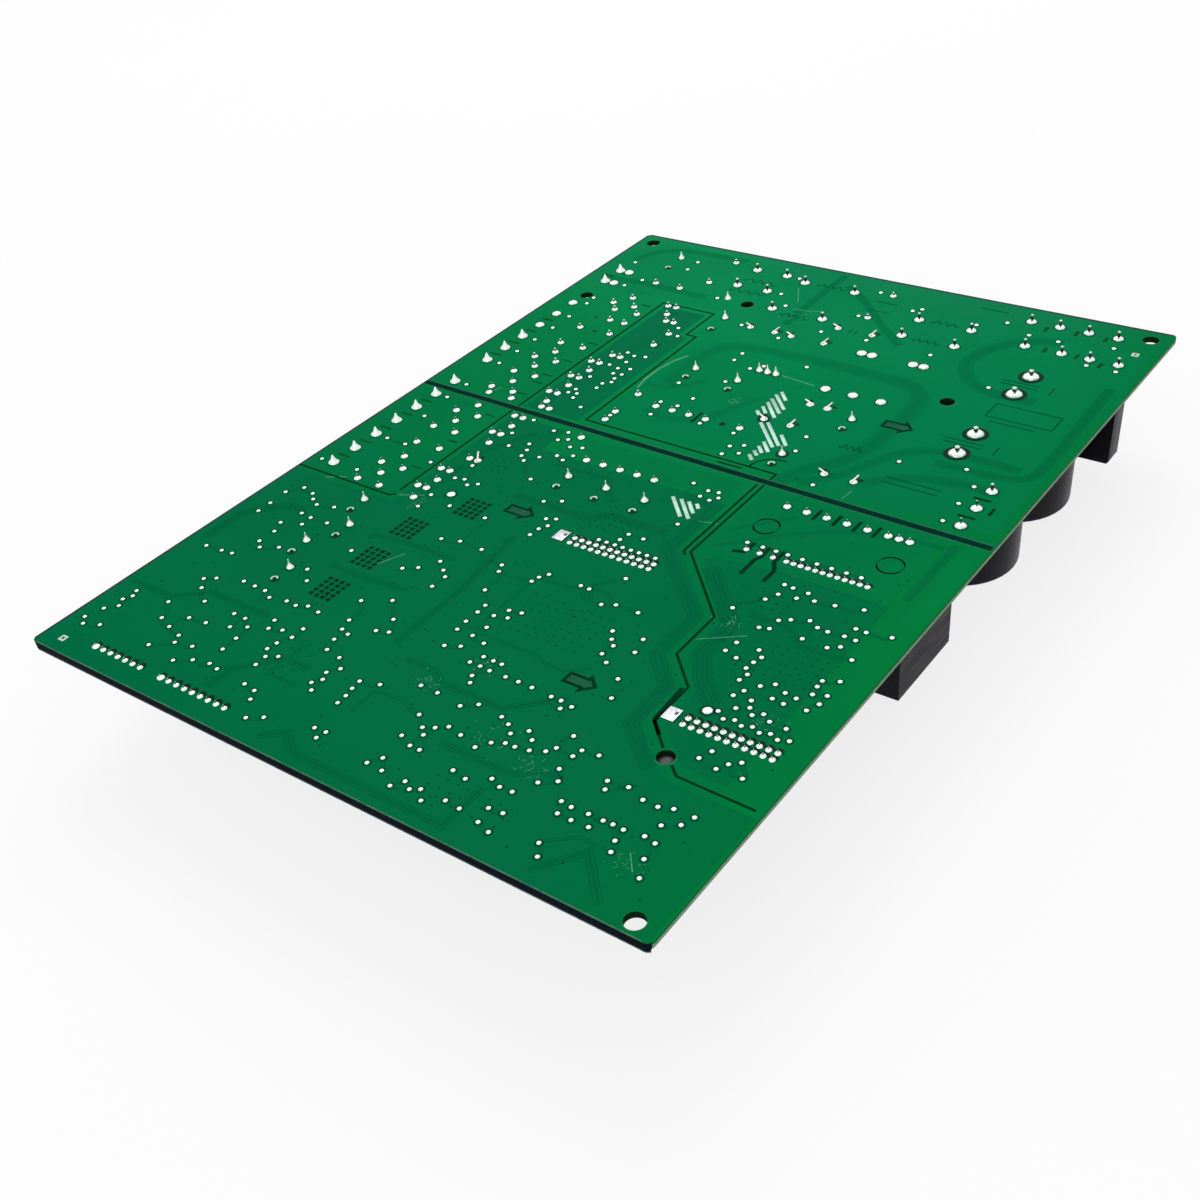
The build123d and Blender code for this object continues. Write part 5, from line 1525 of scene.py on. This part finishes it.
    def flush(self, found: np.ndarray) -> np.ndarray:
        """Joints whose leads end in the solder: reactor header, fuse clips, parts of two other headers.

        Args:
            found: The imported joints' places and radii.

        Returns:
            True for each of them.
        """
        load, heater = self.under(found, "load_header_2"), self.under(found, "heater_header")
        inner = heater & ~self.past_middle(found, heater, 1)
        return self.under(found, "reactor_header", "fuse_clips") | self.past_middle(found, load, 0) | inner

    def tall(self, found: np.ndarray) -> np.ndarray:
        """The varistor's lead on the +X side, which is left long."""
        return self.past_middle(found, self.under(found, "varistor"), 0)

    def hollow(self, found: np.ndarray) -> np.ndarray:
        """Dull sunken joints: the short lead of each can and the varistor's lead on the -X side.

        Args:
            found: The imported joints' places and radii.

        Returns:
            True for each of them.
        """
        short = found[:, 2] - grid.top < self.spike_height * MM
        cans = self.under(found, "small_electrolytics", "filter_electrolytic") & short
        return cans | (self.under(found, "varistor") & ~self.tall(found))

    def bends(self, found: np.ndarray) -> np.ndarray:
        """Place, heading in degrees and length in millimetres of each lead that is bent over.

        Args:
            found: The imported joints' places and radii.

        Returns:
            Rows of (x, y, heading, length).
        """
        groups = zip((self.bent_along, self.bent_up, self.bent_far), self.bent_turns, self.bent_lengths)
        packed = [(*found[number, :2], turn, length) for spots, turn, length in groups
                  for number in self.nearest(found, spots)]
        lone = zip(grid.at(self.lone_bent), self.bent_turns, self.bent_lengths)
        return np.array(packed + [(*place[:2], turn, length) for place, turn, length in lone])

    def toned(self, piece: bpy.types.Object, runs: list[tuple[int, int, int]]) -> None:
        """Writes how far up its shape each point lies, from 0 at the foot to 1 at the top.

        Args:
            piece: The object.
            runs: For each kind of shape in it: rings, points on a ring, copies.
        """
        tones = [np.tile(np.repeat(np.linspace(0, 1, rings), sides), copies)
                 for rings, sides, copies in runs]
        tones = np.concatenate(tones)
        attribute = piece.data.attributes.new(TONE, "FLOAT", "POINT")
        attribute.data.foreach_set("value", tones.astype(np.float32))

    def joints(self, found: np.ndarray) -> None:
        """Makes the joints: mounds with cut leads, flush ones, cones and the flared joints of thin leads.

        Args:
            found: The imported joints' places and radii.
        """
        radius, height = found[:, 3], found[:, 2] - grid.top
        tall = self.tall(found)
        height = np.where(tall, self.spike_height * MM, height)
        flared = (height > self.spike_height * MM) | tall
        flush = self.flush(found)
        chosen = self.nearest(found, self.bent_along + self.bent_up + self.bent_far)
        bent = np.isin(np.arange(len(found)), chosen) & ~flared
        hollow = self.hollow(found)
        far = found[:, 1] > grid.at(((0.0, self.coned_row),))[0, 1]
        coned = far & (radius > self.broad_radius * MM) & ~flush
        plain = ~(flared | coned | hollow)
        led = plain & ~flush & ~bent
        rise = self.mound_share * radius + self.mound_rise * MM
        small = radius < self.fine_radius * MM
        wide = np.where(small, self.fine_share, self.mound_reach) * radius
        moved = found - np.outer(small, (self.fine_shift * MM, 0.0, 0.0, 0.0))
        wafers = [moved[self.under(found, name)] for name in ("wafer_connector_1", "wafer_connector_2")]
        firsts = np.array([pins[pins[:, 1].argmax()] for pins in wafers])
        mounds = [
            self.cast(self.mound, self.sides, moved[plain], wide[plain], rise[plain]),
            self.cast(self.mound, self.sides, firsts, self.first_radius * MM, self.low_rise * MM),
            self.cast(self.mound, self.sides, grid.at(self.lone_bent), self.lone_bent_radius * MM,
                      self.low_rise * MM),
        ]
        piece = make_piece("soldered_joints", gathered(mounds), Finishes.solder.build(), True,
                           ("solder_joints",))
        count = int(plain.sum()) + len(firsts) + len(self.lone_bent)
        self.toned(piece, [(len(self.mound), self.sides, count)])
        lone = grid.at(self.lone_lead)
        shapes = [
            self.cast(self.flared, self.sides, found[flared], radius[flared], height[flared]),
            self.cast(self.flared, self.sides, lone, self.lone_lead_radius * MM, self.spike_height * MM),
            self.cast(self.coned, self.sides, found[coned], radius[coned], height[coned]),
        ]
        piece = make_piece("flared_joints", gathered(shapes), Finishes.flared_tin.build())
        self.toned(piece, [(len(self.flared), self.sides, int(flared.sum()) + len(lone)),
                           (len(self.coned), self.sides, int(coned.sum()))])
        thick = (found[led, 0] > grid.at(((self.thick_from, 0.0),))[0, 0]).astype(int)
        wide = np.array(self.lead_shares)[thick] * radius[led]
        foot = np.array(self.lead_feet)[thick] * rise[led]
        end = np.array(self.tip_heights)[thick] * MM
        length = height[led] - foot - end
        leads = self.cast(self.shank, 8, moved[led], wide, length, foot)
        make_piece("cut_leads", leads, Finishes.shank.build())
        tips = self.cast(self.tip, 8, moved[led], wide, end, foot + length)
        make_piece("lead_tips", tips, Finishes.tip.build())

    def bent_leads(self, found: np.ndarray) -> None:
        """Makes the leads that are bent over on their joints, each a bar with rounded edges.

        Args:
            found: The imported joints' places and radii.
        """
        leads = self.bends(found)
        turn = np.radians(leads[:, 2])
        stretch = np.column_stack((leads[:, 3], np.ones((len(leads), 2))))
        bar = rounded_box(np.array(self.bar_low) * MM, np.array(self.bar_high) * MM, self.bar_edge * MM)
        places = np.column_stack((leads[:, :2], np.full(len(leads), grid.top)))
        make_piece("bent_leads", scatter(bar, places, stretch, turn), Finishes.tinned.build())

    def shade_disc(self, spots: np.ndarray, sizes: Triple, sides: int, height: float) -> Surface:
        """Thin disc beside each spot, for painted shade.

        Args:
            spots: Their X and Y.
            sizes: How far the disc stands off by X and by Y, and its radius, in millimetres.
            sides: Sides of the disc.
            height: Its height.

        Returns:
            All discs as one surface.
        """
        x, y, radius = np.array(sizes) * MM
        return self.cast(self.disc, sides, spots + (x, y), radius, height)

    def surroundings(self, found: np.ndarray, every: np.ndarray, squares: np.ndarray) -> None:
        """Makes the mask clearances, which are partly painted shade, dark discs that paint shade round and
        beside the joints, in the hollows, at the ends of bent leads and in the empty holes, the hollows'
        crescents and the marks on the square lands.

        Args:
            found: The joints.
            every: The joints and the lands.
            squares: Columns and rows of the square lands' middles.
        """
        film = self.film * MM
        # Mask clearance round every joint and land, dark enough that it also paints the shade at each one's
        # edge.
        clear = self.cast(self.disc, 14, every, every[:, 3] + self.clearance * MM, film)
        lay("clearance_and_shade_rings", [clear], Finishes.resist)
        heavy = found[found[:, 3] > self.heavy_radius * MM]
        dull = found[self.hollow(found), :2]
        wafers = found[self.under(found, "wafer_connector_1", "wafer_connector_2"), :2]
        leads = self.bends(found)
        heading = np.radians(leads[:, 2] + self.hollow_turn)
        reach = self.hollow_reach * MM
        ends = leads[:, :2] + reach * np.column_stack((np.cos(heading), np.sin(heading)))
        holes = np.array(self.empty_holes)
        fine = found[found[:, 3] < self.fine_radius * MM, :2]
        ringed = found[self.nearest(found, self.ringed)]
        # Painted shade: dark discs beside the fine and wafer joints, round the heavy and two other joints, in
        # the hollows, at bent lead ends and in the empty holes.
        shade_discs = [
            self.shade_disc(fine, self.fine_shade, 14, 1.05 * film),
            self.cast(self.disc, 28, heavy, heavy[:, 3] + self.heavy_ring * MM, 1.1 * film),
            self.shade_disc(dull, self.dull_shade, 16, 1.2 * film),
            self.cast(self.disc, 28, ringed, self.ring_radius * MM, 1.15 * film),
            self.shade_disc(wafers, self.wafer_shade, 16, 1.1 * film),
            self.cast(self.disc, 14, ends, self.end_shade * MM, 1.2 * film),
            self.cast(self.disc, 20, grid.at(holes[:, :2]), holes[:, 2] * MM, 1.3 * film),
        ]
        lay("painted_shade_discs", shade_discs, Finishes.shade_disc)
        crescents = [strip(circle(column, row, 0.72, 16, -70.0, 225.0), 0.46, 0.2)
                     for column, row in grid.spots(dull)]
        lay("dull_crescents", crescents, Finishes.dull_tin)
        cuts = [strip(((x + 0.5, y - 1.15), (x + 0.5, y - 0.45)), 0.9, 0.215) for x, y in squares]
        cuts += [strip(((x - 1.9, y - 1.55), (x + 1.9, y - 1.55)), 0.14, 0.215) for x, y in squares]
        lay("land_marks", cuts, Finishes.shank)

    def build(self) -> None:
        """Makes the joints, lands, stripes and what surrounds them."""
        found = self.peaks(islands("solder_joints"))
        self.joints(found)
        self.bent_leads(found)
        solids = islands("solder_lands")
        lands = self.peaks([solid for solid in solids if is_peaked(solid)])
        low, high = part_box("circuit_board")
        along = (lands[:, 0] - low.x) / (high.x - low.x)
        size = lands[:, 3] * (self.land_shares[0] + along * (self.land_shares[1] - self.land_shares[0]))
        bumps = self.cast(self.land, self.land_sides, lands, size, lands[:, 2] - grid.top)
        piece = make_piece("tinned_lands", bumps, Finishes.land.build(), True, ("solder_lands",))
        self.toned(piece, [(len(self.land), self.land_sides, len(lands))])
        flat = [solid for solid in solids if not is_peaked(solid)]
        slim = [solid for solid in flat if self.is_slim(solid)]
        square = [solid for solid in flat if not self.is_slim(solid)]
        kinds = (("tinned_stripes", slim, Finishes.stripe), ("square_lands", square, Finishes.square))
        for name, kind, finish in kinds:
            make_piece(name, gathered([self.stripe(solid) for solid in kind]), finish.build())
        middles = np.array([(solid.min(0) + solid.max(0))[:2] / 2 for solid in square])
        self.surroundings(found, np.concatenate((found, lands)), grid.spots(middles))


def cross(arm: float, half: float, foot: float, top: float) -> Surface:
    """Two crossed bars round the origin.

    Args:
        arm: Half of a bar's length.
        half: Half of its width.
        foot: Height of its foot.
        top: Height of its top.

    Returns:
        Both as one surface.
    """
    return gathered([rounded_box((-x, -y, foot), (x, y, top), 0.05 * MM, 2)
                     for x, y in ((arm, half), (half, arm))])


@dataclass(frozen=True)
class HiddenSide:
    """Cans, screws, a board support, the edge strip, whose dark colour is painted shade, and white print on
    the component side.
    """

    sides: int = 40
    bevel: float = 0.9
    groove_height: float = 2.2
    groove_depth: float = 0.5
    sleeve_lap: float = 0.72
    vent_width: float = 0.5
    print_width: float = 0.25
    print_gap: float = 0.5
    print_lift: float = 0.03
    strip_height: float = 0.6
    foot_height: float = 0.36
    tab_hole: float = 3.4
    screw_head: Spots = ((2.9, 0.0), (3.0, 0.3), (3.0, 1.0), (2.6, 1.6), (1.6, 1.95), (0.4, 2.0))
    screw_slot: tuple[float, ...] = (1.7, 0.35, 1.8, 2.06)
    post_head: Spots = ((1.2, 0.0), (1.8, 0.1), (1.8, 0.5), (1.3, 0.75), (0.5, 0.8))
    clamped: tuple[tuple[str, str], ...] = (
        ("bridge_rectifier", "rectifier_heatsink"), ("switching_transistor", "transistor_heatsink"),
    )
    round_nodes: tuple[str, ...] = (
        "bus_capacitor_1", "bus_capacitor_2", "filter_electrolytic", "small_electrolytics",
    )
    framed: tuple[str, ...] = (
        *(f"relay_{number}" for number in range(1, 9)), "power_relay",
        *(f"line_choke_{number}_core" for number in range(1, 4)), "bridge_rectifier", "fuse",
        "inrush_thermistor", "varistor", "transformer_core", "wafer_connector_1", "wafer_connector_2",
        "box_header_1", "box_header_2", "load_header_1", "load_header_2", "heater_header", "reactor_header",
        "compressor_header", "supply_header", "inverter_heatsink", "controllers",
    )

    def cans(self, node: str) -> np.ndarray:
        """Middle, radius, lowest and highest place of each can in a node.

        Args:
            node: The node's name.

        Returns:
            Rows of (x, y, radius, low, high).
        """
        rows = []
        for solid in islands(node):
            low, high = solid.min(0), solid.max(0)
            rows.append((*(low + high)[:2] / 2, (high[0] - low[0]) / 2, low[2], high[2]))
        return np.array(rows)

    def can(self, radius: float, height: float) -> tuple[Surface, Surface, Surface]:
        """One can that stands on its sealed end, turned over: sleeve, end disc and vent cross.

        The sleeve's half outline goes from its lap over the end disc round the bevel, along the wall, in at
        the groove by a cosine dip and in again at the sealed end.

        Args:
            radius: Radius of the can.
            height: Its height.

        Returns:
            Sleeve, end disc and cross, with their lowest place at zero.
        """
        bend = np.linspace(0, math.pi / 2, 6)
        bevel = min(self.bevel * MM, 0.2 * radius)
        corner = np.column_stack((radius - bevel * (1 - np.sin(bend)), bevel * (1 - np.cos(bend))))
        level = np.linspace(-1, 1, 9)
        groove = height - self.groove_height * MM
        dip = self.groove_depth * MM * (1 + np.cos(level * math.pi)) / 2
        wall = np.column_stack((radius - dip, groove + level * 0.8 * MM))
        lap = self.sleeve_lap * radius
        end = np.array(((radius, height - 0.3 * MM), (radius - 0.3 * MM, height), (0.6 * radius, height)))
        sleeve = lathe(np.concatenate((((lap, 0.12 * MM), (lap + 0.1 * MM, 0.0)), corner, wall, end)),
                       self.sides)
        disc = lathe(np.array(((0.2 * lap, 0.1 * MM), (lap, 0.06 * MM), (lap, 0.3 * MM))), self.sides)
        return sleeve, disc, cross(0.62 * lap, self.vent_width * MM / 2, 0.02 * MM, 0.2 * MM)

    def capacitors(self) -> None:
        """Makes every round capacitor."""
        for name in self.round_nodes:
            parts = [(self.can(radius, high - low), (x, y, low))
                     for x, y, radius, low, high in self.cans(name)]
            sleeves, discs, crosses = (gathered([shapes[kind].moved(*place) for shapes, place in parts])
                                       for kind in range(3))
            make_piece(f"{name}_sleeve", sleeves, Finishes.sleeve.build(), True, (name,))
            make_piece(f"{name}_end", discs, Finishes.can_metal.build())
            lay(f"{name}_vent", [crosses], Finishes.rubber)

    def white_print(self) -> None:
        """Draws a thin white frame round the foot of each larger component and a ring round each can."""
        outlines = []
        gap = self.print_gap * MM
        for name in self.framed:
            low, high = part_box(name)
            outlines.append(np.array(((low.x - gap, low.y - gap), (high.x + gap, low.y - gap),
                                      (high.x + gap, high.y + gap), (low.x - gap, high.y + gap))))
        angle = np.linspace(0, 2 * math.pi, self.sides, endpoint=False)
        for x, y, radius, _, _ in (can for name in self.round_nodes for can in self.cans(name)):
            reach = radius + gap
            outlines.append(np.column_stack((x + reach * np.cos(angle), y + reach * np.sin(angle))))
        profile = low_profile(self.print_width * MM, self.print_lift * MM)
        level = grid.under - self.print_lift * MM
        frames = [ribbon(outline, profile, level, True) for outline in outlines]
        lay("component_side_print", frames, Finishes.chalk)

    def shaded_edge_strip(self) -> None:
        """Makes the strip under the connector edge, dark as painted shade of the board's cut edge, with its
        pale foot.
        """
        far = grid.rows
        path = grid.at(((0.9, 0.5), (0.5, 1.2), (0.5, far - 1.2), (0.9, far - 0.5)))
        body = low_profile(0.8 * MM, self.strip_height * MM)
        foot = low_profile(0.66 * MM, self.foot_height * MM)
        level = grid.under - self.strip_height * MM
        # Painted shade: a dark strip that carries the board's cut edge further down.
        lay("shaded_edge_strip", [ribbon(path, body, level)], Finishes.shaded_edge_strip)
        lay("edge_strip_foot", [ribbon(path, foot, level - self.foot_height * MM)], Finishes.edge_foot)

    def clamp_screws(self) -> None:
        """Makes the pan-head screws that clamp the rectifier and the transistor to their heatsinks.

        Each head is turned about Z and laid along X by moving every axis on by one place, and it faces away
        from the heatsink.
        """
        head = lathe(np.array(self.screw_head) * MM, 24)
        slots = cross(*(size * MM for size in self.screw_slot))
        heads, crosses = [], []
        for name, sink in self.clamped:
            low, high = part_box(name)
            away = 1.0 if sum(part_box(sink)[i].x for i in (0, 1)) < low.x + high.x else -1.0
            level = (low.z + high.z) / 2 if name == "bridge_rectifier" else low.z + self.tab_hole * MM
            place = (high.x if away > 0 else low.x, (low.y + high.y) / 2, level)
            for shape, pieces in ((head, heads), (slots, crosses)):
                laid = shape.points[:, (2, 0, 1)] * (away, away, 1.0)
                pieces.append(Surface(laid, shape.faces).moved(*place))
        make_piece("clamp_screws", gathered(heads), Finishes.screw.build())
        lay("clamp_screw_slots", crosses, Finishes.rubber)

    def hole_post(self) -> None:
        """Makes the dark head of a board support that sits in the hole between the two box headers."""
        spot = grid.at((grid.holes[-1],))[0]
        post = lathe(np.array(self.post_head) * MM, 24).moved(*spot, grid.under)
        make_piece("board_support_head", post, Finishes.black.build())

    def build(self) -> None:
        """Makes the pieces of the component side."""
        self.capacitors()
        self.white_print()
        self.clamp_screws()
        self.hole_post()
        self.shaded_edge_strip()


@dataclass(frozen=True)
class Dressing:
    """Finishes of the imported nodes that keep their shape."""

    def build(self) -> None:
        """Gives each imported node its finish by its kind."""
        slots = {part["node"]: part["material_slot"] for part in frame["record"]["subparts"]}
        looks = {
            "laminate": Finishes.laminate, "can_sleeve": Finishes.sleeve, "dark_aluminium": Finishes.anodised,
            "tinned_leads": Finishes.tinned, "ferrite": Finishes.ferrite, "bobbin_plastic": Finishes.bobbin,
            "winding_tape": Finishes.tape, "copper_winding": WoundFinish("enamelled_copper", "X"),
            "relay_case": Finishes.relay, "solid_relay_case": Finishes.black,
            "film_case": Finishes.film, "disc_coating": Finishes.disc,
            "thermistor_coating": Finishes.thermistor, "fuse_glass": Finishes.glass,
            "clip_metal": Finishes.clip, "header_plastic": Finishes.housing, "box_plastic": Finishes.box,
            "resistor_coating": Finishes.resistor, "chip_case": Finishes.black,
            "passive_body": Finishes.passive, "solder": Finishes.tinned,
        }
        built = {slot: look.build() for slot, look in looks.items()}
        for name in sorted(frame["nodes"]):
            dress(built[slots[name]], name)


@dataclass(frozen=True)
class Studio:
    """Pale floor, soft lamps and the camera."""

    floor_half: float = 3.0
    glow: float = 0.8
    surround: float = 0.62
    camera_place: Triple = (-0.2352, -0.1815, 0.2093)
    camera_turns: Triple = (-48.96, 48.71, -7.33)
    lens: float = 42.41
    shift: tuple[float, float] = (-0.0083, 0.1167)
    lamp_size: float = 0.9
    lamps: tuple[tuple[str, Triple, float], ...] = (
        ("key_lamp", (0.7, 0.5, 1.1), 7.0), ("fill_lamp", (-0.9, -0.2, 0.9), 3.0),
    )

    def floor(self) -> None:
        """Flat pale floor under the board."""
        half = self.floor_half
        corners = np.array(((-half, -half, 0.0), (half, -half, 0.0), (half, half, 0.0), (-half, half, 0.0)))
        mesh = bpy.data.meshes.new("floor")
        mesh.from_pydata(corners.tolist(), [], [[0, 1, 2, 3]])
        floor = bpy.data.objects.new("floor", mesh)
        bpy.context.scene.collection.objects.link(floor)
        pale = Finish("floor_paper", (244, 244, 244), (247, 247, 247), (0.8, 0.9), drift=6.0, specular=0.1)
        material = pale.build()
        mesh.materials.append(material)
        self.lighten(material)
        floor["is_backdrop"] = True

    def lighten(self, material: bpy.types.Material) -> None:
        """Lets the floor look whiter where it is seen or mirrored, and clear from below, its shadow kept.

        Args:
            material: The floor's finish, whose shader gives way to a plain glow by a share on such rays.
        """
        nodes = Nodes(material.node_tree)
        output = next(node for node in nodes.tree.nodes if node.type == "OUTPUT_MATERIAL")
        shader = next(node for node in nodes.tree.nodes if node.type == "BSDF_PRINCIPLED")
        rays = nodes.add("ShaderNodeLightPath").outputs
        seen = nodes.maths("ADD", rays["Is Camera Ray"], rays["Is Glossy Ray"], use_clamp=True)
        glow = nodes.add("ShaderNodeEmission").outputs["Emission"]
        above = nodes.blended(nodes.maths("MULTIPLY", seen, self.glow), shader.outputs["BSDF"], glow)
        below = nodes.add("ShaderNodeNewGeometry").outputs["Backfacing"]
        clear = nodes.add("ShaderNodeBsdfTransparent").outputs["BSDF"]
        nodes.link(nodes.blended(below, above, clear), output.inputs["Surface"])

    def lamp(self, name: str, place: Triple, size: float, power: float) -> None:
        """Soft square lamp aimed at the origin.

        Args:
            name: The lamp's name.
            place: Where it stands.
            size: Its side in metres.
            power: Its power in watts.
        """
        data = bpy.data.lights.new(name, "AREA")
        data.shape, data.size, data.energy = "SQUARE", size, power
        lamp = bpy.data.objects.new(name, data)
        lamp.location = place
        towards = -np.array(place)
        yaw = math.atan2(towards[1], towards[0])
        pitch = math.atan2(math.hypot(towards[0], towards[1]), -towards[2])
        lamp.rotation_euler = (pitch, 0.0, yaw - math.pi / 2)
        bpy.context.scene.collection.objects.link(lamp)

    def world(self) -> None:
        """Even light all round, white wherever it is seen or mirrored."""
        world = bpy.data.worlds.new("studio")
        bpy.context.scene.world = world
        world.use_nodes = True
        nodes = Nodes(world.node_tree)
        back = nodes.tree.nodes["Background"]
        rays = nodes.add("ShaderNodeLightPath").outputs
        seen = nodes.maths("MAXIMUM", rays["Is Camera Ray"], rays["Is Glossy Ray"])
        through = nodes.maths("MAXIMUM", seen, rays["Is Transmission Ray"])
        level = nodes.add("ShaderNodeMapRange")
        level.inputs["To Min"].default_value = self.surround
        nodes.link(through, level.inputs["Value"])
        nodes.link(level.outputs["Result"], back.inputs["Strength"])
        back.inputs["Color"].default_value = (1.0, 1.0, 1.0, 1.0)

    def camera(self) -> None:
        """Camera above the corner at -X and -Y."""
        data = bpy.data.cameras.new("camera")
        data.lens, data.sensor_width = self.lens, 36.0
        data.shift_x, data.shift_y = self.shift
        data.clip_start, data.clip_end = 0.01, 20.0
        camera = bpy.data.objects.new("camera", data)
        turn = [math.radians(angle) for angle in self.camera_turns]
        camera.matrix_world = (
            Matrix.Translation(self.camera_place) @ Matrix.Rotation(turn[0], 4, "Z")
            @ Matrix.Rotation(turn[1], 4, "X") @ Matrix.Rotation(turn[2], 4, "Z")
        )
        bpy.context.scene.collection.objects.link(camera)
        bpy.context.scene.camera = camera

    def build(self) -> None:
        """Sets up the whole studio."""
        bpy.context.scene.view_settings.view_transform = "Standard"
        self.floor()
        self.world()
        for name, place, power in self.lamps:
            self.lamp(name, place, self.lamp_size, power)
        self.camera()


def corners() -> list[list[float]]:
    """Lowest and highest corners of what is shown."""
    return [list(corner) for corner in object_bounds()]


def main() -> None:
    """Builds the looks and the studio."""
    logging.basicConfig(level=logging.INFO, format="%(message)s")
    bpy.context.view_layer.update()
    Dressing().build()
    CopperWork().build()
    BoardPrint().build()
    SolderJob().build()
    HiddenSide().build()
    Studio().build()


if __name__ == "__main__":
    main()
